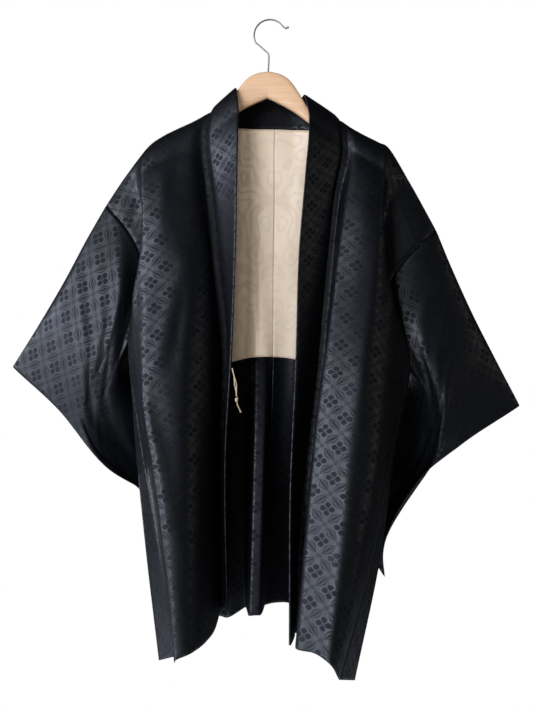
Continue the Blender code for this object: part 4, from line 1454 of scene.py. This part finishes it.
# %% Hook
HOOK_WIRE = 0.0028
HOOK_RADIUS = 0.0277
HOOK_TIP = ((33.5, -12.2), (30.0, -12.6), (27.4, -14.0))
HOOK_FROM, HOOK_TO = math.radians(38), math.radians(208)
HOOK_FOOT = (
    (-17.8, -44.8), (-9.6, -52.2), (-4.4, -56.6), (-2.2, -61.5), (-2.0, -70), (-2.4, -80), (-3.0, -89.6),
)
TIP_BALL = 0.0019
FINEST = 0.0004


def wire_hook():
    """The bent wire, with its end rounded into a small ball."""
    turns = np.linspace(HOOK_FROM, HOOK_TO, 12)
    centre = -(HOOK_RADIUS - HOOK_WIRE / 2) / MM
    arc = [(HOOK_RADIUS / MM * math.cos(t), centre + HOOK_RADIUS / MM * math.sin(t)) for t in turns]
    route = np.array([(x, 0, z) for x, z in (*HOOK_TIP, *arc, *HOOK_FOOT)]) * MM
    path = flowing(route, np.linspace(0, len(route) - 1, 260))
    distance = along(path)
    ball = 2 * TIP_BALL * np.sqrt(np.clip(1 - (distance - TIP_BALL) ** 2 / TIP_BALL**2, 0, 1))
    joined = np.maximum(HOOK_WIRE * (distance > TIP_BALL), ball)
    width = np.where(distance < 2 * TIP_BALL, joined, HOOK_WIRE)
    return swept(path, np.maximum(width, FINEST), 20)


hook_wire = link("hook_wire", *wire_hook(), wire)
print("hook %.0f mm across" % (hook_wire.dimensions.x / MM))

# %% [markdown]
# ## Each fine piece and its solid
# Each fine piece stands for a solid and rides with the one rigid body, and that solid is hidden. A sheet of
# cloth also says what size it was cut to, how it is held and what carries it. The cord says its route, so
# that it can be checked against its own length.

# %% Bodies, cloth and cord
STANDS_FOR = {wooden_arms: "hanger_wood", hook_wire: "hanger_hook", tie_strands: "tie_cord",
              knot_wraps: "tie_knot", frayed_tail: "tie_tail"}
STANDS_FOR.update({piece: name for name, piece in shells.items()})
for piece, node in STANDS_FOR.items():
    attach(piece, "root")
    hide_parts(node)

# %% [markdown]
# ## Floor and light
# Black silk shows almost nothing but what it reflects. Two broad soft lights stand at the left and ahead of
# the jacket, like the two halves of a bay window, and the right side is left nearly dark. The pale wood,
# cord and lining need far more light than the silk does, so two more lights reach those pieces alone. The
# floor is plain and pale, and the air round the jacket is white to the eye but dim to the cloth.


# %% Floor
def pale_floor():
    graph = Graph("pale floor")
    speck = graph.noise(graph.place(), 30, 2)
    return graph.finish(graph.mix(speck, (0.80, 0.80, 0.80, 1), (0.84, 0.84, 0.84, 1)), 0.9)


FLOOR_DROP = 1.75
FLOOR_LEFT, FLOOR_RIGHT, FLOOR_NEAR, FLOOR_FAR = -1.6, 1.6, -1.7, 1.0
floor = link("floor", [(FLOOR_LEFT, FLOOR_NEAR, -FLOOR_DROP), (FLOOR_RIGHT, FLOOR_NEAR, -FLOOR_DROP),
                       (FLOOR_RIGHT, FLOOR_FAR, -FLOOR_DROP), (FLOOR_LEFT, FLOOR_FAR, -FLOOR_DROP)],
             [(0, 1, 2, 3)], pale_floor())

print("floor", FLOOR_DROP, "m below the hook")

# %% [markdown]
# ## The lamps
# Each lamp is a rectangle, as a window is, so it shows in the satin as a broad soft band. A point or a spot
# lamp would leave small hard glints, which silk under a window never has.

# %% Lamps
# place, aim, size, power in watts, colour
LIGHTS = {
    "window": ((-2.6, -0.9, -0.2), (0, 0, -0.55), (1.2, 2.4), 60, (0.76, 0.82, 1.0)),
    "window ahead": ((-1.6, -2.6, -0.2), (0, 0, -0.55), (1.0, 2.4), 60, (0.80, 0.86, 1.0)),
    "far room": ((2.6, -1.0, -0.2), (0, 0, -0.55), (1.0, 2.4), 4, (1.0, 0.97, 0.93)),
    "wall behind": ((-1.2, 2.6, -0.9), (0, 0, -0.65), (1.6, 1.6), 20, (0.90, 0.94, 1.0)),
    "up from the floor": ((-0.8, -0.35, -1.7), (-0.35, 0, -0.75), (1.1, 0.9), 9, (0.74, 0.84, 1.0)),
    "pale pieces, side": ((-1.1, -2.9, 0.2), (0, 0, -0.35), (0.8, 1.0), 40, (1.0, 0.98, 0.96)),
    "pale pieces, front": ((0.2, -3.2, 0.3), (0, 0, -0.35), (1.2, 1.2), 22, (1.0, 0.87, 0.74)),
}
PALE_PIECES = [
    wooden_arms, tie_strands, knot_wraps, frayed_tail, shells["lining_left"], shells["lining_right"]]
lit = bpy.data.collections.new("pale pieces")
for piece in PALE_PIECES:
    lit.objects.link(piece)
for name, (place, aim, size, power, colour) in LIGHTS.items():
    light = bpy.data.lights.new(name, "AREA")
    light.shape = "RECTANGLE"
    light.size, light.size_y = size
    light.energy, light.color = power, colour
    lamp = bpy.data.objects.new(name, light)
    bpy.context.scene.collection.objects.link(lamp)
    lamp.location = place
    lamp.rotation_euler = (Vector(aim) - Vector(place)).to_track_quat("-Z", "Y").to_euler()
    if name.startswith("pale pieces"):
        lamp.light_linking.receiver_collection = lit

print("lights:", ", ".join(LIGHTS))

# %% [markdown]
# ## The air round it
# A camera ray that meets nothing sees white. Every other ray sees a dim blue, which is all that the cloth
# gets from behind. With plain white air the black silk would turn grey.

# %% Air
AIR_LIGHT = 0.03
world = bpy.data.worlds.new("pale room")
bpy.context.scene.world = world
world.use_nodes = True
tree = world.node_tree
tree.nodes.clear()
to_eye, to_cloth = tree.nodes.new("ShaderNodeBackground"), tree.nodes.new("ShaderNodeBackground")
to_eye.inputs["Color"].default_value = (1, 1, 1, 1)
to_cloth.inputs["Color"].default_value = (0.86, 0.92, 1, 1)
to_cloth.inputs["Strength"].default_value = AIR_LIGHT
path_kind, mixed = tree.nodes.new("ShaderNodeLightPath"), tree.nodes.new("ShaderNodeMixShader")
tree.links.new(path_kind.outputs["Is Camera Ray"], mixed.inputs[0])
tree.links.new(to_cloth.outputs[0], mixed.inputs[1])
tree.links.new(to_eye.outputs[0], mixed.inputs[2])
tree.links.new(mixed.outputs[0], tree.nodes.new("ShaderNodeOutputWorld").inputs[0])
bpy.context.scene.view_settings.view_transform = "Standard"
print("air:", world.name)

# %% [markdown]
# ## Measure and finish
# ## The end
# Only json is brought in here.

# %% json
import json
